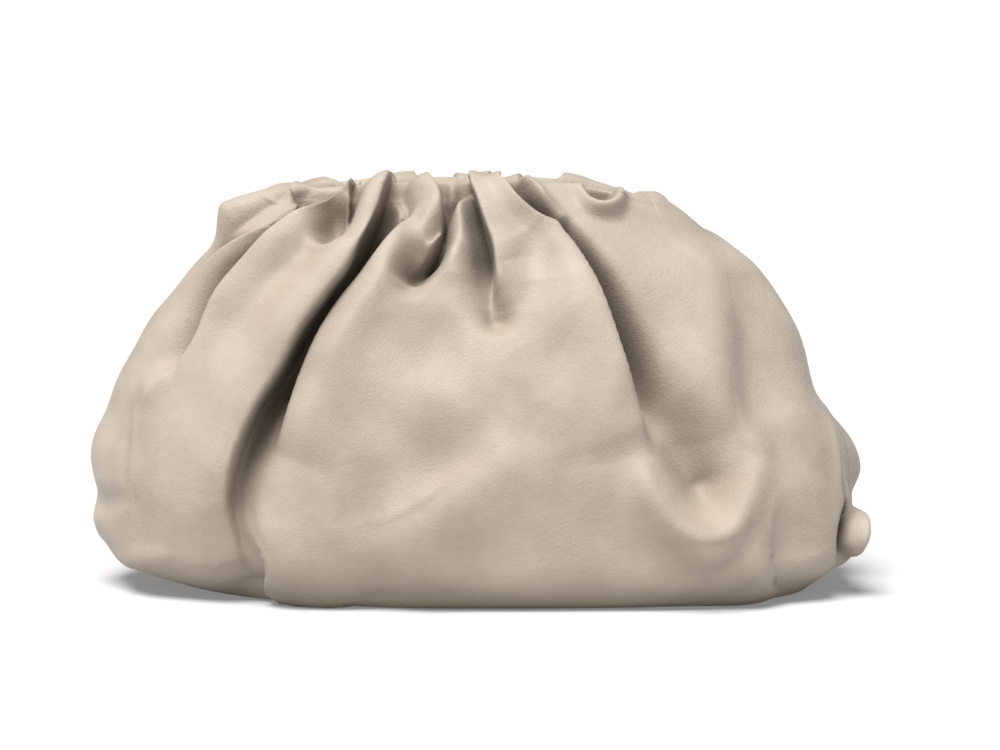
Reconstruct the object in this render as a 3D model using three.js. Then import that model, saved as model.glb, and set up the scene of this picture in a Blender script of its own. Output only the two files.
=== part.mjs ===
import * as THREE from "three";

// Soft leather pouch bag: two gathered leather panels, joined down the sides and along the
// bottom, with their top edges rolled over a hidden mouth frame. Millimetres, +Z up, the
// front faces -Y, the origin is in the middle of the footprint.

// Driving sizes
const BAG_WIDTH = 380;
const BAG_DEPTH = 160;
const BAG_HEIGHT = 204;
const LEATHER_THICKNESS = 2.4;
const SEAM_GAP = 0.3;
const MOUTH_GAP = 8;
const FRAME_THICKNESS = 4;
const FRAME_HEIGHT = 13;
const FRAME_CLEARANCE = 0.35;
const RIM_FULLNESS = 3.6;
const RIM_ROLL_HEIGHT = 7;

// The rim's own height, a share of the bag's: the folds stand out above it.
const RIM_LEVEL = 0.98;
const HEM_ALLOWANCE = 8;

// The folds' strength: a share of 1 in the tables below means this much.
const FOLD_RISE = 11;
const FOLD_SPAN = 14;
const FOLD_EDGE = 5;
const FOLD_STEPS = 26;
const FOLD_SHARING = 2.5;

// The folds' paths are laid out as seen from a little above, from an arm's length or two.
const VIEW_TILT = THREE.MathUtils.degToRad(8);
const VIEW_DISTANCE = 1600;

// Fineness of the facets
const COLUMNS = 48;
const FLOOR_ROWS = 3;
const SIDE_ROWS = 19;
const MOUTH_ROWS = 5;

// Distances over which the folds die out, measured along the leather
const FLOOR_FADE = 14;
const RIM_SOFTENING_START = 22;
const RIM_SOFTENING_LENGTH = 14;
const MOUTH_FADE_LENGTH = 9;
const OVER_RIM_LENGTH = 14;
const SEAM_HOLD = 14;

const HALF_WIDTH = BAG_WIDTH / 2;
const HALF_DEPTH = BAG_DEPTH / 2;
const HALF_MOUTH = MOUTH_GAP / 2;
const HALF_RIM = HALF_MOUTH + LEATHER_THICKNESS + FRAME_CLEARANCE + FRAME_THICKNESS / 2 + RIM_FULLNESS;
const LIP_HEIGHT = RIM_LEVEL * BAG_HEIGHT - RIM_ROLL_HEIGHT;
const HEM_END_HEIGHT = LIP_HEIGHT - FRAME_HEIGHT - HEM_ALLOWANCE;

// Level sections from the bottom seam up to the rolled rim and down into the mouth. Heights
// are shares of the height, left and right of the half width, front and back of the half
// depth. Square is the exponent of the rounded outline, 2 is an ellipse. Drop is how far the
// two ends hang lower (or stand higher, below zero), as a share of the height.
const SECTION_COLUMNS = [
  "height", "left", "right", "front", "back", "squareLeft", "squareRight", "dropLeft", "dropRight",
];
const SECTIONS = [
  { name: "bottom seam", row: [0, 0.68, 0.78, 0, 0, 2, 3, 0, 0] },
  { name: "floor", row: [0, 0.73, 0.81, 0.45, 0.45, 2, 3.4, 0, 0] },
  { name: "ground line", row: [0, 0.78, 0.84, 0.86, 0.86, 2, 3.8, -0.012, -0.012] },
  { name: "turn of the foot", row: [0.022, 0.87, 0.9, 0.935, 0.935, 2.1, 3.8, -0.035, -0.035] },
  { name: "low belly", row: [0.11, 0.97, 0.955, 0.985, 0.99, 2.2, 3.4, -0.02, -0.02] },
  { name: "belly", row: [0.28, 1, 0.935, 0.99, 1, 2.2, 2.9, 0, 0] },
  { name: "waist", row: [0.45, 0.955, 0.865, 0.93, 0.94, 2.2, 2.5, 0, 0] },
  { name: "chest", row: [0.62, 0.87, 0.8, 0.79, 0.81, 2.1, 2.2, 0, 0] },
  { name: "shoulder", row: [0.78, 0.74, 0.7, 0.6, 0.63, 2, 2, 0, 0.015] },
  { name: "neck", row: [0.89, 0.625, 0.56, 0.39, 0.42, 2, 2, 0.01, 0.03] },
  { name: "under the rim", row: [0.95, 0.55, 0.48, 0.26, 0.27, 2.4, 2.4, 0.02, 0.045] },
  {
    name: "rim",
    row: [RIM_LEVEL, 0.49, 0.43, HALF_RIM / HALF_DEPTH, HALF_RIM / HALF_DEPTH, 3.4, 3.4, 0.025, 0.05],
  },
  {
    name: "lip",
    row: [LIP_HEIGHT / BAG_HEIGHT, 0.44, 0.39, HALF_MOUTH / HALF_DEPTH, HALF_MOUTH / HALF_DEPTH,
      3, 3, 0.03, 0.05],
  },
  {
    name: "end of the hem",
    row: [HEM_END_HEIGHT / BAG_HEIGHT, 0.43, 0.38, HALF_MOUTH / HALF_DEPTH, HALF_MOUTH / HALF_DEPTH,
      3, 3, 0.03, 0.05],
  },
];
const GROUND_SECTION = 2;
const RIM_SECTION = 11;
const LIP_SECTION = 12;

// Folds. A path runs downwards in steps of [across, up]: across is a share of the half width
// as seen from the fold's face, or of the half depth, towards the back, on the two ends. Up
// runs from 0 at the foot to 1 at the rim. The leather stands out on the raised side and
// sinks on the other one: rise and dip are shares of FOLD_RISE, wide and reach of FOLD_SPAN,
// each spread evenly along the path. A soft fold is one round swelling or hollow.
const FOLDS = [
  {
    name: "right edge of the left lobe", face: "front", raised: "left", fromRim: true,
    path: [[-0.227, 0.998], [-0.294, 0.883], [-0.384, 0.753], [-0.523, 0.557], [-0.619, 0.396],
      [-0.652, 0.289], [-0.637, 0.168], [-0.572, 0.028]],
    rise: [0.6, 0.9, 1.3, 1.4, 1.2, 1, 0.6, 0.2], dip: [0.3, 1, 1.5, 1.5, 1.2, 0.9, 0.5, 0.2],
    wide: [0.6, 1.2, 2.2, 2.4], reach: [0.5, 0.8, 1.2, 1.8],
  },
  {
    name: "left edge of the middle", face: "front", raised: "right", fromRim: true,
    path: [[-0.124, 0.998], [-0.196, 0.895], [-0.271, 0.832], [-0.356, 0.739], [-0.466, 0.585],
      [-0.528, 0.441], [-0.562, 0.371]],
    rise: [0.6, 0.9, 1.1, 1.1, 1, 0.7, 0.3, 0], dip: [0.2, 0.6, 1.1, 1.3, 1.1, 0.6, 0.2, 0],
    wide: [0.5, 0.9, 2, 2.2], reach: [0.5, 0.8, 1, 1.2],
  },
  {
    name: "left edge of the left lobe", face: "front", raised: "right", fromRim: true,
    path: [[-0.338, 1.002], [-0.438, 0.939], [-0.523, 0.869], [-0.67, 0.732], [-0.771, 0.601],
      [-0.863, 0.522]],
    rise: [0.5, 0.9, 1.1, 1, 0.7, 0], dip: [0.4, 0.9, 1.2, 1.1, 0.6, 0],
    wide: [0.6, 1.2, 1.8], reach: [0.6, 1, 1.4],
  },
  {
    name: "first sleeve", face: "front", raised: "right", fromRim: true,
    path: [[-0.487, 0.998], [-0.559, 0.9], [-0.696, 0.823], [-0.814, 0.718], [-0.933, 0.536]],
    rise: [0.5, 0.8, 0.7, 0.4, 0], dip: [0.4, 1.1, 1.1, 0.6, 0],
    wide: [0.5, 0.8, 1.2], reach: [0.6, 1.2, 1.4],
  },
  {
    name: "pocket edge", face: "front", raised: "right", fromRim: true,
    path: [[-0.036, 0.993], [-0.098, 0.909], [-0.157, 0.82], [-0.198, 0.751]],
    rise: [0.6, 1, 0.9, 0], dip: [0.2, 1, 1.4, 0],
    wide: [0.6, 1.2, 1.4], reach: [0.5, 0.7, 0.8],
  },
  {
    name: "centre slit", face: "front", raised: "right", fromRim: true,
    path: [[-0.026, 0.988], [0.015, 0.897], [0.034, 0.767], [0.031, 0.695]],
    rise: [0.6, 1.1, 0.9, 0.3], dip: [0.3, 1, 1.2, 0.4],
    wide: [0.6, 1.1, 1.4], reach: [0.5, 0.8, 1.1],
  },
  {
    name: "left edge of the right lobe", face: "front", raised: "left", fromRim: false,
    path: [[0.121, 0.951], [0.211, 0.867], [0.276, 0.767], [0.356, 0.597], [0.407, 0.455],
      [0.435, 0.37]],
    rise: [0.4, 0.9, 1.1, 1.2, 0.8, 0], dip: [0.3, 1.1, 1.6, 1.7, 1, 0],
    wide: [0.8, 2, 2.6, 2.4], reach: [0.6, 1.2, 1.6, 1.6],
  },
  {
    name: "rim of the right hollow", face: "front", raised: "left", soft: true,
    path: [[0.428, 0.415], [0.451, 0.298], [0.557, 0.191], [0.644, 0.184], [0.709, 0.273]],
    rise: [0.2, 0.8, 0.9, 0.5, 0], dip: [0.6, 1.3, 1.3, 0.7, 0],
    wide: [1.5], reach: [1.8],
  },
  {
    name: "crease of the right shoulder", face: "front", raised: "left", soft: true,
    path: [[0.624, 0.816], [0.657, 0.604], [0.678, 0.51], [0.657, 0.406]],
    rise: [0.1, 0.4, 0.3, 0], dip: [0.2, 0.6, 0.3, 0],
    wide: [2.5], reach: [2],
  },
  {
    name: "crease of the right corner", face: "front", raised: "left", soft: true,
    path: [[0.747, 0.312], [0.753, 0.21], [0.755, 0.121], [0.768, 0.009]],
    rise: [0, 0.3, 0.5, 0.4], dip: [0, 0.5, 0.7, 0.5],
    wide: [1.6], reach: [1.5],
  },
  {
    name: "swelling of the middle", face: "front", raised: "right", soft: true,
    path: [[-0.242, 0.21], [-0.077, 0.296], [0.067, 0.392], [0.129, 0.464]],
    rise: [0, 0.5, 0.5, 0], dip: [0, 0.5, 0.5, 0],
    wide: [2.4], reach: [2.4],
  },
  {
    name: "back, outer fold on the left", face: "back", raised: "left", fromRim: true,
    path: [[-0.4, 0.998], [-0.52, 0.88], [-0.68, 0.7], [-0.8, 0.5]],
    rise: [0.5, 0.8, 0.5, 0], dip: [0.3, 0.9, 0.6, 0],
    wide: [0.7, 1.4, 1.8], reach: [0.6, 1.1, 1.4],
  },
  {
    name: "back, inner fold on the left", face: "back", raised: "left", fromRim: true,
    path: [[-0.2, 0.998], [-0.28, 0.84], [-0.4, 0.6], [-0.46, 0.36]],
    rise: [0.6, 1, 0.8, 0], dip: [0.3, 1.1, 0.9, 0],
    wide: [0.7, 1.6, 2.2], reach: [0.6, 1.2, 1.6],
  },
  {
    name: "back, fold of the middle", face: "back", raised: "right", fromRim: true,
    path: [[-0.02, 0.998], [-0.04, 0.86], [-0.02, 0.66]],
    rise: [0.6, 0.9, 0], dip: [0.3, 1, 0],
    wide: [0.7, 1.4], reach: [0.6, 1],
  },
  {
    name: "back, inner fold on the right", face: "back", raised: "right", fromRim: true,
    path: [[0.17, 0.998], [0.25, 0.86], [0.36, 0.64], [0.42, 0.42]],
    rise: [0.6, 1, 0.8, 0], dip: [0.3, 1.1, 0.8, 0],
    wide: [0.7, 1.6, 2.2], reach: [0.6, 1.2, 1.6],
  },
  {
    name: "back, outer fold on the right", face: "back", raised: "right", fromRim: true,
    path: [[0.38, 0.998], [0.5, 0.88], [0.66, 0.68], [0.74, 0.48]],
    rise: [0.5, 0.8, 0.6, 0], dip: [0.3, 0.9, 0.7, 0],
    wide: [0.7, 1.4, 1.8], reach: [0.6, 1.1, 1.4],
  },
  {
    name: "left shoulder, behind the sleeve", face: "back", raised: "right", soft: true,
    path: [[0.5, 0.99], [0.6, 0.92], [0.68, 0.82]],
    rise: [0.5, 0.9, 0.2], dip: [-0.5, -0.9, -0.2],
    wide: [0.8], reach: [0.8],
  },
  {
    name: "ear of the right seam", face: "right", raised: "right", soft: true,
    path: [[0.12, 0.4], [0.16, 0.3], [0.14, 0.22]],
    rise: [0.1, 0.5, 0.3], dip: [-0.1, -0.5, -0.3],
    wide: [0.9], reach: [0.6],
  },
  {
    name: "curl of the right foot", face: "right", raised: "right", soft: true,
    path: [[-0.04, 0.21], [0, 0.16], [-0.02, 0.11]],
    rise: [0.3, 1, 0.4], dip: [-0.3, -1, -0.4],
    wide: [0.7], reach: [0.7],
  },
];

const clamp = (value, low = 0, high = 1) => Math.min(Math.max(value, low), high);

/** A soft step from 0 to 1. */
function ease(value) {
  const share = clamp(value);
  return share * share * (3 - 2 * share);
}

/** Slopes of a cubic curve through the values that never overshoots them. */
function monotoneSlopes(stations, values) {
  const steps = stations.slice(1).map((at, index) => at - stations[index]);
  const secants = steps.map((step, index) => (values[index + 1] - values[index]) / step);
  return values.map((_, index) => {
    if (index === 0) return secants[0];
    if (index === values.length - 1) return secants[index - 1];
    const [before, after] = [secants[index - 1], secants[index]];
    if (before * after <= 0) return 0;
    const early = 2 * steps[index] + steps[index - 1];
    const late = steps[index] + 2 * steps[index - 1];
    return (early + late) / (early / before + late / after);
  });
}

/** Where each section lies along the leather, measured up the middle of the front. */
function sectionStations() {
  const stations = [0];
  for (let index = 1; index < SECTIONS.length; index += 1) {
    const [from, to] = [SECTIONS[index - 1].row, SECTIONS[index].row];
    const climb = (to[0] - from[0]) * BAG_HEIGHT;
    const depth = (to[3] - from[3]) * HALF_DEPTH;
    stations.push(stations[index - 1] + Math.hypot(climb, depth));
  }
  return stations;
}

const STATIONS = sectionStations();
const GROUND_AT = STATIONS[GROUND_SECTION];
const RIM_AT = STATIONS[RIM_SECTION];
const LIP_AT = STATIONS[LIP_SECTION];
const HEM_END_AT = STATIONS[STATIONS.length - 1];
const SECTION_VALUES = SECTION_COLUMNS.map((_, column) => SECTIONS.map(({ row }) => row[column]));
const SECTION_SLOPES = SECTION_VALUES.map((values) => monotoneSlopes(STATIONS, values));

/** The level section of the bag at a distance along the leather. */
function sectionAt(along) {
  const at = clamp(along, 0, HEM_END_AT);
  let index = 0;
  while (index < STATIONS.length - 2 && STATIONS[index + 1] < at) index += 1;
  const step = STATIONS[index + 1] - STATIONS[index];
  const share = (at - STATIONS[index]) / step;
  const [square, cube] = [share ** 2, share ** 3];
  const section = {};
  SECTION_COLUMNS.forEach((name, column) => {
    const [values, slopes] = [SECTION_VALUES[column], SECTION_SLOPES[column]];
    section[name] = (2 * cube - 3 * square + 1) * values[index]
      + (cube - 2 * square + share) * step * slopes[index]
      + (3 * square - 2 * cube) * values[index + 1]
      + (cube - square) * step * slopes[index + 1];
  });
  return section;
}

/** Exponent of the rounded outline in a direction, -1 at the left end to 1 at the right. */
function squareness(section, direction) {
  return THREE.MathUtils.lerp(section.squareLeft, section.squareRight, clamp(0.5 + 1.2 * direction));
}

/** A point of the smooth bag: angle runs from 0 at the right seam to PI at the left one. */
function formPoint(angle, along, side) {
  const section = sectionAt(along);
  const [cosine, sine] = [Math.cos(angle), Math.sin(angle)];
  const power = squareness(section, cosine);
  const radius = (Math.abs(cosine) ** power + Math.abs(sine) ** power) ** (-1 / power);
  const flatness = 1 - clamp(along / GROUND_AT);
  const across = THREE.MathUtils.lerp(radius * cosine, 1 - (2 * angle) / Math.PI, flatness);
  const reach = (across < 0 ? section.left : section.right) * HALF_WIDTH;
  const depth = (side < 0 ? section.front : section.back) * HALF_DEPTH;
  const drop = (across < 0 ? section.dropLeft : section.dropRight) * Math.abs(across) ** 3;
  return new THREE.Vector3(
    reach * across,
    side * depth * radius * Math.max(sine, 0),
    (section.height - drop) * BAG_HEIGHT,
  );
}

/** The outward direction of the smooth bag, level with the seam plane at the two seams. */
function formNormal(angle, along, side) {
  const turn = 1e-3;
  const shift = 0.3;
  const aroundStep = formPoint(Math.min(angle + turn, Math.PI), along, side)
    .sub(formPoint(Math.max(angle - turn, 0), along, side));
  const alongStep = formPoint(angle, Math.min(along + shift, HEM_END_AT), side)
    .sub(formPoint(angle, Math.max(along - shift, 0), side));
  const normal = aroundStep.cross(alongStep).multiplyScalar(side);
  if (angle <= 0 || angle >= Math.PI) normal.y = 0;
  return normal.normalize();
}

/** How far along the leather a height lies, between the ground line and the rim. */
function alongAtHeight(height) {
  let [low, high] = [GROUND_AT, RIM_AT];
  for (let pass = 0; pass < 30; pass += 1) {
    const middle = (low + high) / 2;
    if (sectionAt(middle).height * BAG_HEIGHT < height) low = middle;
    else high = middle;
  }
  return (low + high) / 2;
}

/** Seen height, in millimetres above the middle of the bag, of a point at depth y. */
function seenHeight(y, z) {
  const distance = VIEW_DISTANCE + y * Math.cos(VIEW_TILT);
  const climb = (z - BAG_HEIGHT / 2) * Math.cos(VIEW_TILT) + y * Math.sin(VIEW_TILT);
  return (climb * VIEW_DISTANCE) / distance;
}

/** The place on the smooth bag that is seen at [across, up] from the front or the back. */
function placeOnBroadSide(across, up, mirror) {
  const foot = seenHeight(-0.9 * HALF_DEPTH, 0);
  const top = seenHeight(-HALF_RIM, RIM_LEVEL * BAG_HEIGHT);
  const wanted = foot + up * (top - foot);
  let [y, z, along, share] = [-HALF_DEPTH / 2, BAG_HEIGHT / 2, GROUND_AT, 0];
  let [power, radius] = [2, 1];
  for (let pass = 0; pass < 20; pass += 1) {
    const scale = 1 + (y * Math.cos(VIEW_TILT)) / VIEW_DISTANCE;
    z = (wanted * scale - y * Math.sin(VIEW_TILT)) / Math.cos(VIEW_TILT) + BAG_HEIGHT / 2;
    const x = across * mirror * HALF_WIDTH * scale;
    const section = sectionAt(along);
    const drop = (x < 0 ? section.dropLeft : section.dropRight) * Math.abs(share) ** 3;
    along = alongAtHeight(z + drop * BAG_HEIGHT);
    const level = sectionAt(along);
    share = clamp(x / ((x < 0 ? level.left : level.right) * HALF_WIDTH), -0.998, 0.998);
    power = squareness(level, share);
    radius = (1 - Math.abs(share) ** power) ** (1 / power);
    y = -(mirror > 0 ? level.front : level.back) * HALF_DEPTH * radius;
  }
  return { angle: Math.atan2(radius, share), along, side: -mirror };
}

/** The place on a rounded end that lies at [back, up], back as a share of the half depth. */
function placeOnEnd(back, up, right) {
  const along = alongAtHeight(up * BAG_HEIGHT);
  const section = sectionAt(along);
  const side = back < 0 ? -1 : 1;
  const depth = clamp(Math.abs(back) / (side < 0 ? section.front : section.back), 0, 0.998);
  const power = squareness(section, right);
  const share = right * (1 - depth ** power) ** (1 / power);
  return { angle: Math.atan2(depth, share), along, side };
}

function placeOnFace(face, across, up) {
  if (face === "front") return placeOnBroadSide(across, up, 1);
  if (face === "back") return placeOnBroadSide(across, up, -1);
  return placeOnEnd(across, up, face === "right" ? 1 : -1);
}

/** The value of an evenly spread list at a share of the path. */
function spreadAt(list, share) {
  const place = share * (list.length - 1);
  const index = Math.min(Math.floor(place), list.length - 2);
  if (list.length === 1) return list[0];
  return THREE.MathUtils.lerp(list[index], list[index + 1], place - index);
}

/** The line of a fold on the smooth bag, with its outward and raised directions. */
function foldLine(fold) {
  const places = fold.path.map(([across, up]) => placeOnFace(fold.face, across, up));
  if (fold.fromRim) places.unshift({ ...places[0], along: RIM_AT + OVER_RIM_LENGTH });
  const spots = places.map(({ angle, along, side }) => formPoint(angle, along, side));
  const outwards = places.map(({ angle, along, side }) => formNormal(angle, along, side));
  const line = new THREE.CatmullRomCurve3(spots).getPoints(FOLD_STEPS);
  const normals = new THREE.CatmullRomCurve3(outwards).getPoints(FOLD_STEPS)
    .map((normal) => normal.normalize());
  const turn = fold.raised === "left" ? -1 : 1;
  const sides = line.map((spot, index) => {
    const ahead = line[Math.min(index + 1, FOLD_STEPS)].clone()
      .sub(line[Math.max(index - 1, 0)]);
    return normals[index].clone().cross(ahead).multiplyScalar(turn).normalize();
  });
  return { fold, line, normals, sides };
}

const FOLD_LINES = FOLDS.map(foldLine);

/** The nearest spot of a fold's line to a point. */
function nearestOnLine(line, point) {
  let best = { distance: Infinity };
  const segment = new THREE.Line3();
  const spot = new THREE.Vector3();
  for (let index = 0; index < line.length - 1; index += 1) {
    segment.set(line[index], line[index + 1]);
    const share = segment.closestPointToPointParameter(point, true);
    segment.at(share, spot);
    const distance = spot.distanceTo(point);
    if (distance < best.distance) best = { distance, index, share, spot: spot.clone() };
  }
  return best;
}

/** How far one fold lifts (above zero) or sinks the leather at a point of the smooth bag. */
function foldHeight({ fold, line, normals, sides }, point, normal) {
  const near = nearestOnLine(line, point);
  const outward = normals[near.index].clone().lerp(normals[near.index + 1], near.share);
  const raised = sides[near.index].clone().lerp(sides[near.index + 1], near.share).normalize();
  const offset = point.clone().sub(near.spot);
  const ahead = raised.clone().cross(outward).normalize();
  const atEnd = (near.index === 0 && near.share <= 0)
    || (near.index === line.length - 2 && near.share >= 1);
  const beyond = atEnd ? Math.abs(offset.dot(ahead)) : 0;
  const aside = Math.sqrt(Math.max(near.distance ** 2 - beyond ** 2, 0));
  const signedAside = offset.dot(raised) < 0 ? -aside : aside;
  const share = (near.index + near.share) / FOLD_STEPS;
  const wide = spreadAt(fold.wide, share) * FOLD_SPAN;
  const reach = spreadAt(fold.reach, share) * FOLD_SPAN;
  const lift = spreadAt(fold.rise, share) * FOLD_RISE * Math.exp(-((aside / wide) ** 2));
  const sink = spreadAt(fold.dip, share) * FOLD_RISE * Math.exp(-((aside / reach) ** 2));
  const edge = fold.soft ? FOLD_SPAN : FOLD_EDGE;
  const raisedShare = 0.5 * (1 + Math.tanh(signedAside / edge));
  const facing = clamp((normal.dot(outward) + 0.1) / 0.4);
  const ending = Math.exp(-((beyond / Math.min(wide, reach)) ** 2));
  return (raisedShare * lift - (1 - raisedShare) * sink) * ending * facing;
}

/** All folds together at a point, quiet on the ground, around the frame and in the mouth. */
function foldedHeight(point, normal, along) {
  let [up, down] = [0, 0];
  for (const line of FOLD_LINES) {
    const height = foldHeight(line, point, normal);
    if (height > 0) up += height ** FOLD_SHARING;
    else down += (-height) ** FOLD_SHARING;
  }
  const fromSeam = ease(Math.abs(point.y) / SEAM_HOLD);
  const free = up ** (1 / FOLD_SHARING) - down ** (1 / FOLD_SHARING) * fromSeam;
  const outside = 0.5 * (free + Math.hypot(free, 2)) - 0.6;
  const aroundFrame = ease((along - RIM_AT + RIM_SOFTENING_START) / RIM_SOFTENING_LENGTH);
  const inMouth = clamp((along - RIM_AT) / MOUTH_FADE_LENGTH);
  const offGround = along > GROUND_AT ? ease(point.z / FLOOR_FADE) : 0;
  const overRim = 1 - 0.55 * clamp(normal.z) ** 2 * aroundFrame;
  return THREE.MathUtils.lerp(free, outside, aroundFrame) * overRim * (1 - inMouth) * offGround;
}

/** Evenly spread numbers, both ends counted. */
function spread(from, to, count) {
  return Array.from({ length: count }, (_, index) => from + ((to - from) * index) / (count - 1));
}

/** Angles from the left seam to the right one, closer where the outline turns less. */
function columnAngles() {
  return spread(0, 1, COLUMNS + 1).map((share) => {
    const warped = share + (0.28 * Math.sin(2 * Math.PI * share)) / (2 * Math.PI);
    return Math.PI * (1 - warped);
  });
}

/** Distances along the leather for the rows of facets, closer towards the rim. */
function rowStations() {
  const floor = spread(0, GROUND_AT, FLOOR_ROWS);
  const sides = spread(0, 1, SIDE_ROWS).map((share) => {
    return GROUND_AT + (RIM_AT - GROUND_AT) * (1 - (1 - share) ** 1.3);
  });
  const mouth = spread(RIM_AT, LIP_AT, MOUTH_ROWS - 1).concat(HEM_END_AT);
  return [...floor, ...sides.slice(1), ...mouth.slice(1)];
}

const ANGLES = columnAngles();
const ROWS = rowStations();

/**
 * Facets between loops of points, each loop running round the solid's section. Each facet
 * pair is split along its shorter diagonal, which follows the folds.
 */
function solidFromLoops(loops, closed) {
  const size = loops[0].length;
  const points = loops.flat();
  const triangles = [];
  const last = closed ? loops.length : loops.length - 1;
  for (let ring = 0; ring < last; ring += 1) {
    const next = (ring + 1) % loops.length;
    for (let index = 0; index < size; index += 1) {
      const after = (index + 1) % size;
      const [a, b] = [ring * size + index, ring * size + after];
      const [c, d] = [next * size + after, next * size + index];
      const alongShorter = points[a].distanceTo(points[c]) <= points[b].distanceTo(points[d]);
      triangles.push(...(alongShorter ? [a, b, c, a, c, d] : [a, b, d, b, c, d]));
    }
  }
  return { points, triangles, size };
}

function meshFrom(points, triangles, name, material) {
  const geometry = new THREE.BufferGeometry();
  geometry.setAttribute("position", new THREE.Float32BufferAttribute(
    points.flatMap(({ x, y, z }) => [x, y, z]),
    3,
  ));
  geometry.setIndex(triangles);
  geometry.computeVertexNormals();
  const mesh = new THREE.Mesh(geometry, material);
  mesh.name = name;
  return mesh;
}

/**
 * One leather panel. Each column is a loop that runs up the outer face and back down the
 * inner face, so the side edges are closed by a strip between the two faces.
 */
function leatherPanel(name, side, material) {
  const loops = ANGLES.map((angle) => {
    const outer = [];
    const inner = [];
    for (const along of ROWS) {
      const point = formPoint(angle, along, side);
      const normal = formNormal(angle, along, side);
      const outerPoint = point.clone().addScaledVector(normal, foldedHeight(point, normal, along));
      outerPoint.y += (side * SEAM_GAP) / 2;
      outer.push(outerPoint);
      inner.push(outerPoint.clone().addScaledVector(normal, -LEATHER_THICKNESS));
    }
    return [...outer, ...inner.reverse()];
  });
  const { points, triangles, size } = solidFromLoops(loops, false);
  const lastLoop = (loops.length - 1) * size;
  for (let row = 0; row < ROWS.length - 1; row += 1) {
    const opposite = size - 1 - row;
    triangles.push(row, opposite, opposite - 1, row, opposite - 1, row + 1);
    triangles.push(lastLoop + row, lastLoop + opposite - 1, lastLoop + opposite);
    triangles.push(lastLoop + row, lastLoop + row + 1, lastLoop + opposite - 1);
  }
  if (side < 0) triangles.reverse();
  return meshFrom(points, triangles, name, material);
}

/** The flat bar that is bent into a long closed loop, hidden between hem and panel. */
function mouthFrame(name, material) {
  const topAt = LIP_AT;
  const bottomAt = LIP_AT + FRAME_HEIGHT;
  const nearFace = -(LEATHER_THICKNESS + FRAME_CLEARANCE);
  const farFace = nearFace - FRAME_THICKNESS;
  const corners = [[topAt, nearFace], [topAt, farFace], [bottomAt, farFace], [bottomAt, nearFace]];
  const loopAt = (angle, side) => corners.map(([along, offset]) => {
    return formPoint(angle, along, side).addScaledVector(formNormal(angle, along, side), offset);
  });
  const front = ANGLES.map((angle) => loopAt(angle, -1));
  const back = ANGLES.slice(1, -1).reverse().map((angle) => loopAt(angle, 1));
  const { points, triangles } = solidFromLoops([...front, ...back], true);
  return meshFrom(points, triangles, name, material);
}

const leather = { color: 0xd9cbb9, roughness: 0.55, metalness: 0 };
const steel = { color: 0x8c8f92, roughness: 0.4, metalness: 1 };

const group = new THREE.Group();
group.name = "cloud_pouch_bag";
group.add(
  leatherPanel("front_panel", -1, new THREE.MeshStandardMaterial({ name: "front_leather", ...leather })),
  leatherPanel("back_panel", 1, new THREE.MeshStandardMaterial({ name: "back_leather", ...leather })),
  mouthFrame("mouth_frame", new THREE.MeshStandardMaterial({ name: "frame_steel", ...steel })),
);

// The bag stands centred on its footprint box, folds counted.
const centre = new THREE.Box3().setFromObject(group).getCenter(new THREE.Vector3());
group.children.forEach((mesh) => mesh.geometry.translate(-centre.x, -centre.y, 0));

export default group;
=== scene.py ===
"""Soft leather pouch bag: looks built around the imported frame.

Two panels of nappa lambskin are gathered into a rim that rolls over a hidden steel frame.
The panels' shape is worked out here from level sections of the full bag and from a table of
the folds that cross them. Lengths are in millimetres while the shape is worked out, and in
metres on every Blender object.
"""

import logging
import math
from dataclasses import dataclass, field
from enum import Enum

import bpy
import numpy as np
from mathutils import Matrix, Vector


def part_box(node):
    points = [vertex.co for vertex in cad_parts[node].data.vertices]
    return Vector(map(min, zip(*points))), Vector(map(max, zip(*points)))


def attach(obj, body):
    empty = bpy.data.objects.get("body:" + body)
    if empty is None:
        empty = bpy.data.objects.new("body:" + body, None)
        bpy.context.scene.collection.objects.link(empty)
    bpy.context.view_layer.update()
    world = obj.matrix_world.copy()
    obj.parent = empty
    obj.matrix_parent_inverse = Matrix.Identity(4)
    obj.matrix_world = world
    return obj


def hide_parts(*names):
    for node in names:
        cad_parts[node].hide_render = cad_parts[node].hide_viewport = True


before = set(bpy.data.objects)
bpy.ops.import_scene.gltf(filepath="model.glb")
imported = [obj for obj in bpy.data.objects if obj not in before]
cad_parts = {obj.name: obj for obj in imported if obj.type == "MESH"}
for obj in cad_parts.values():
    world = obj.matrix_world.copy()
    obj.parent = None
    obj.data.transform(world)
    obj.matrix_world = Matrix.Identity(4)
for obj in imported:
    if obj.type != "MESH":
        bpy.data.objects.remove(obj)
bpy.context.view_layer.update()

LOG = logging.getLogger("pouch")
METRE = 1000.0
WHITE = (1.0, 1.0, 1.0, 1.0)
SPREAD_SAMPLES = 64
NEAR_EDGE = 0.998
TINY = 1e-9


class Side(Enum):
    """A panel, by the side of the seam plane that it lies on."""

    FRONT = -1
    BACK = 1


class Face(Enum):
    """The view that a fold's path is laid out in."""

    FRONT = "front"
    BACK = "back"
    LEFT = "left"
    RIGHT = "right"


class Raised(Enum):
    """The side of a fold that stands out, looking down its path from above."""

    LEFT = -1
    RIGHT = 1


@dataclass(frozen=True)
class Section:
    """A level section of the bag.

    Height and drops are shares of the bag's height, left and right of its half width, front
    and back of its half depth. Square is the exponent of the rounded outline, 2 an ellipse.
    """

    height: float
    left: float
    right: float
    front: float
    back: float
    square_left: float
    square_right: float
    drop_left: float = 0.0
    drop_right: float = 0.0


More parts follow.
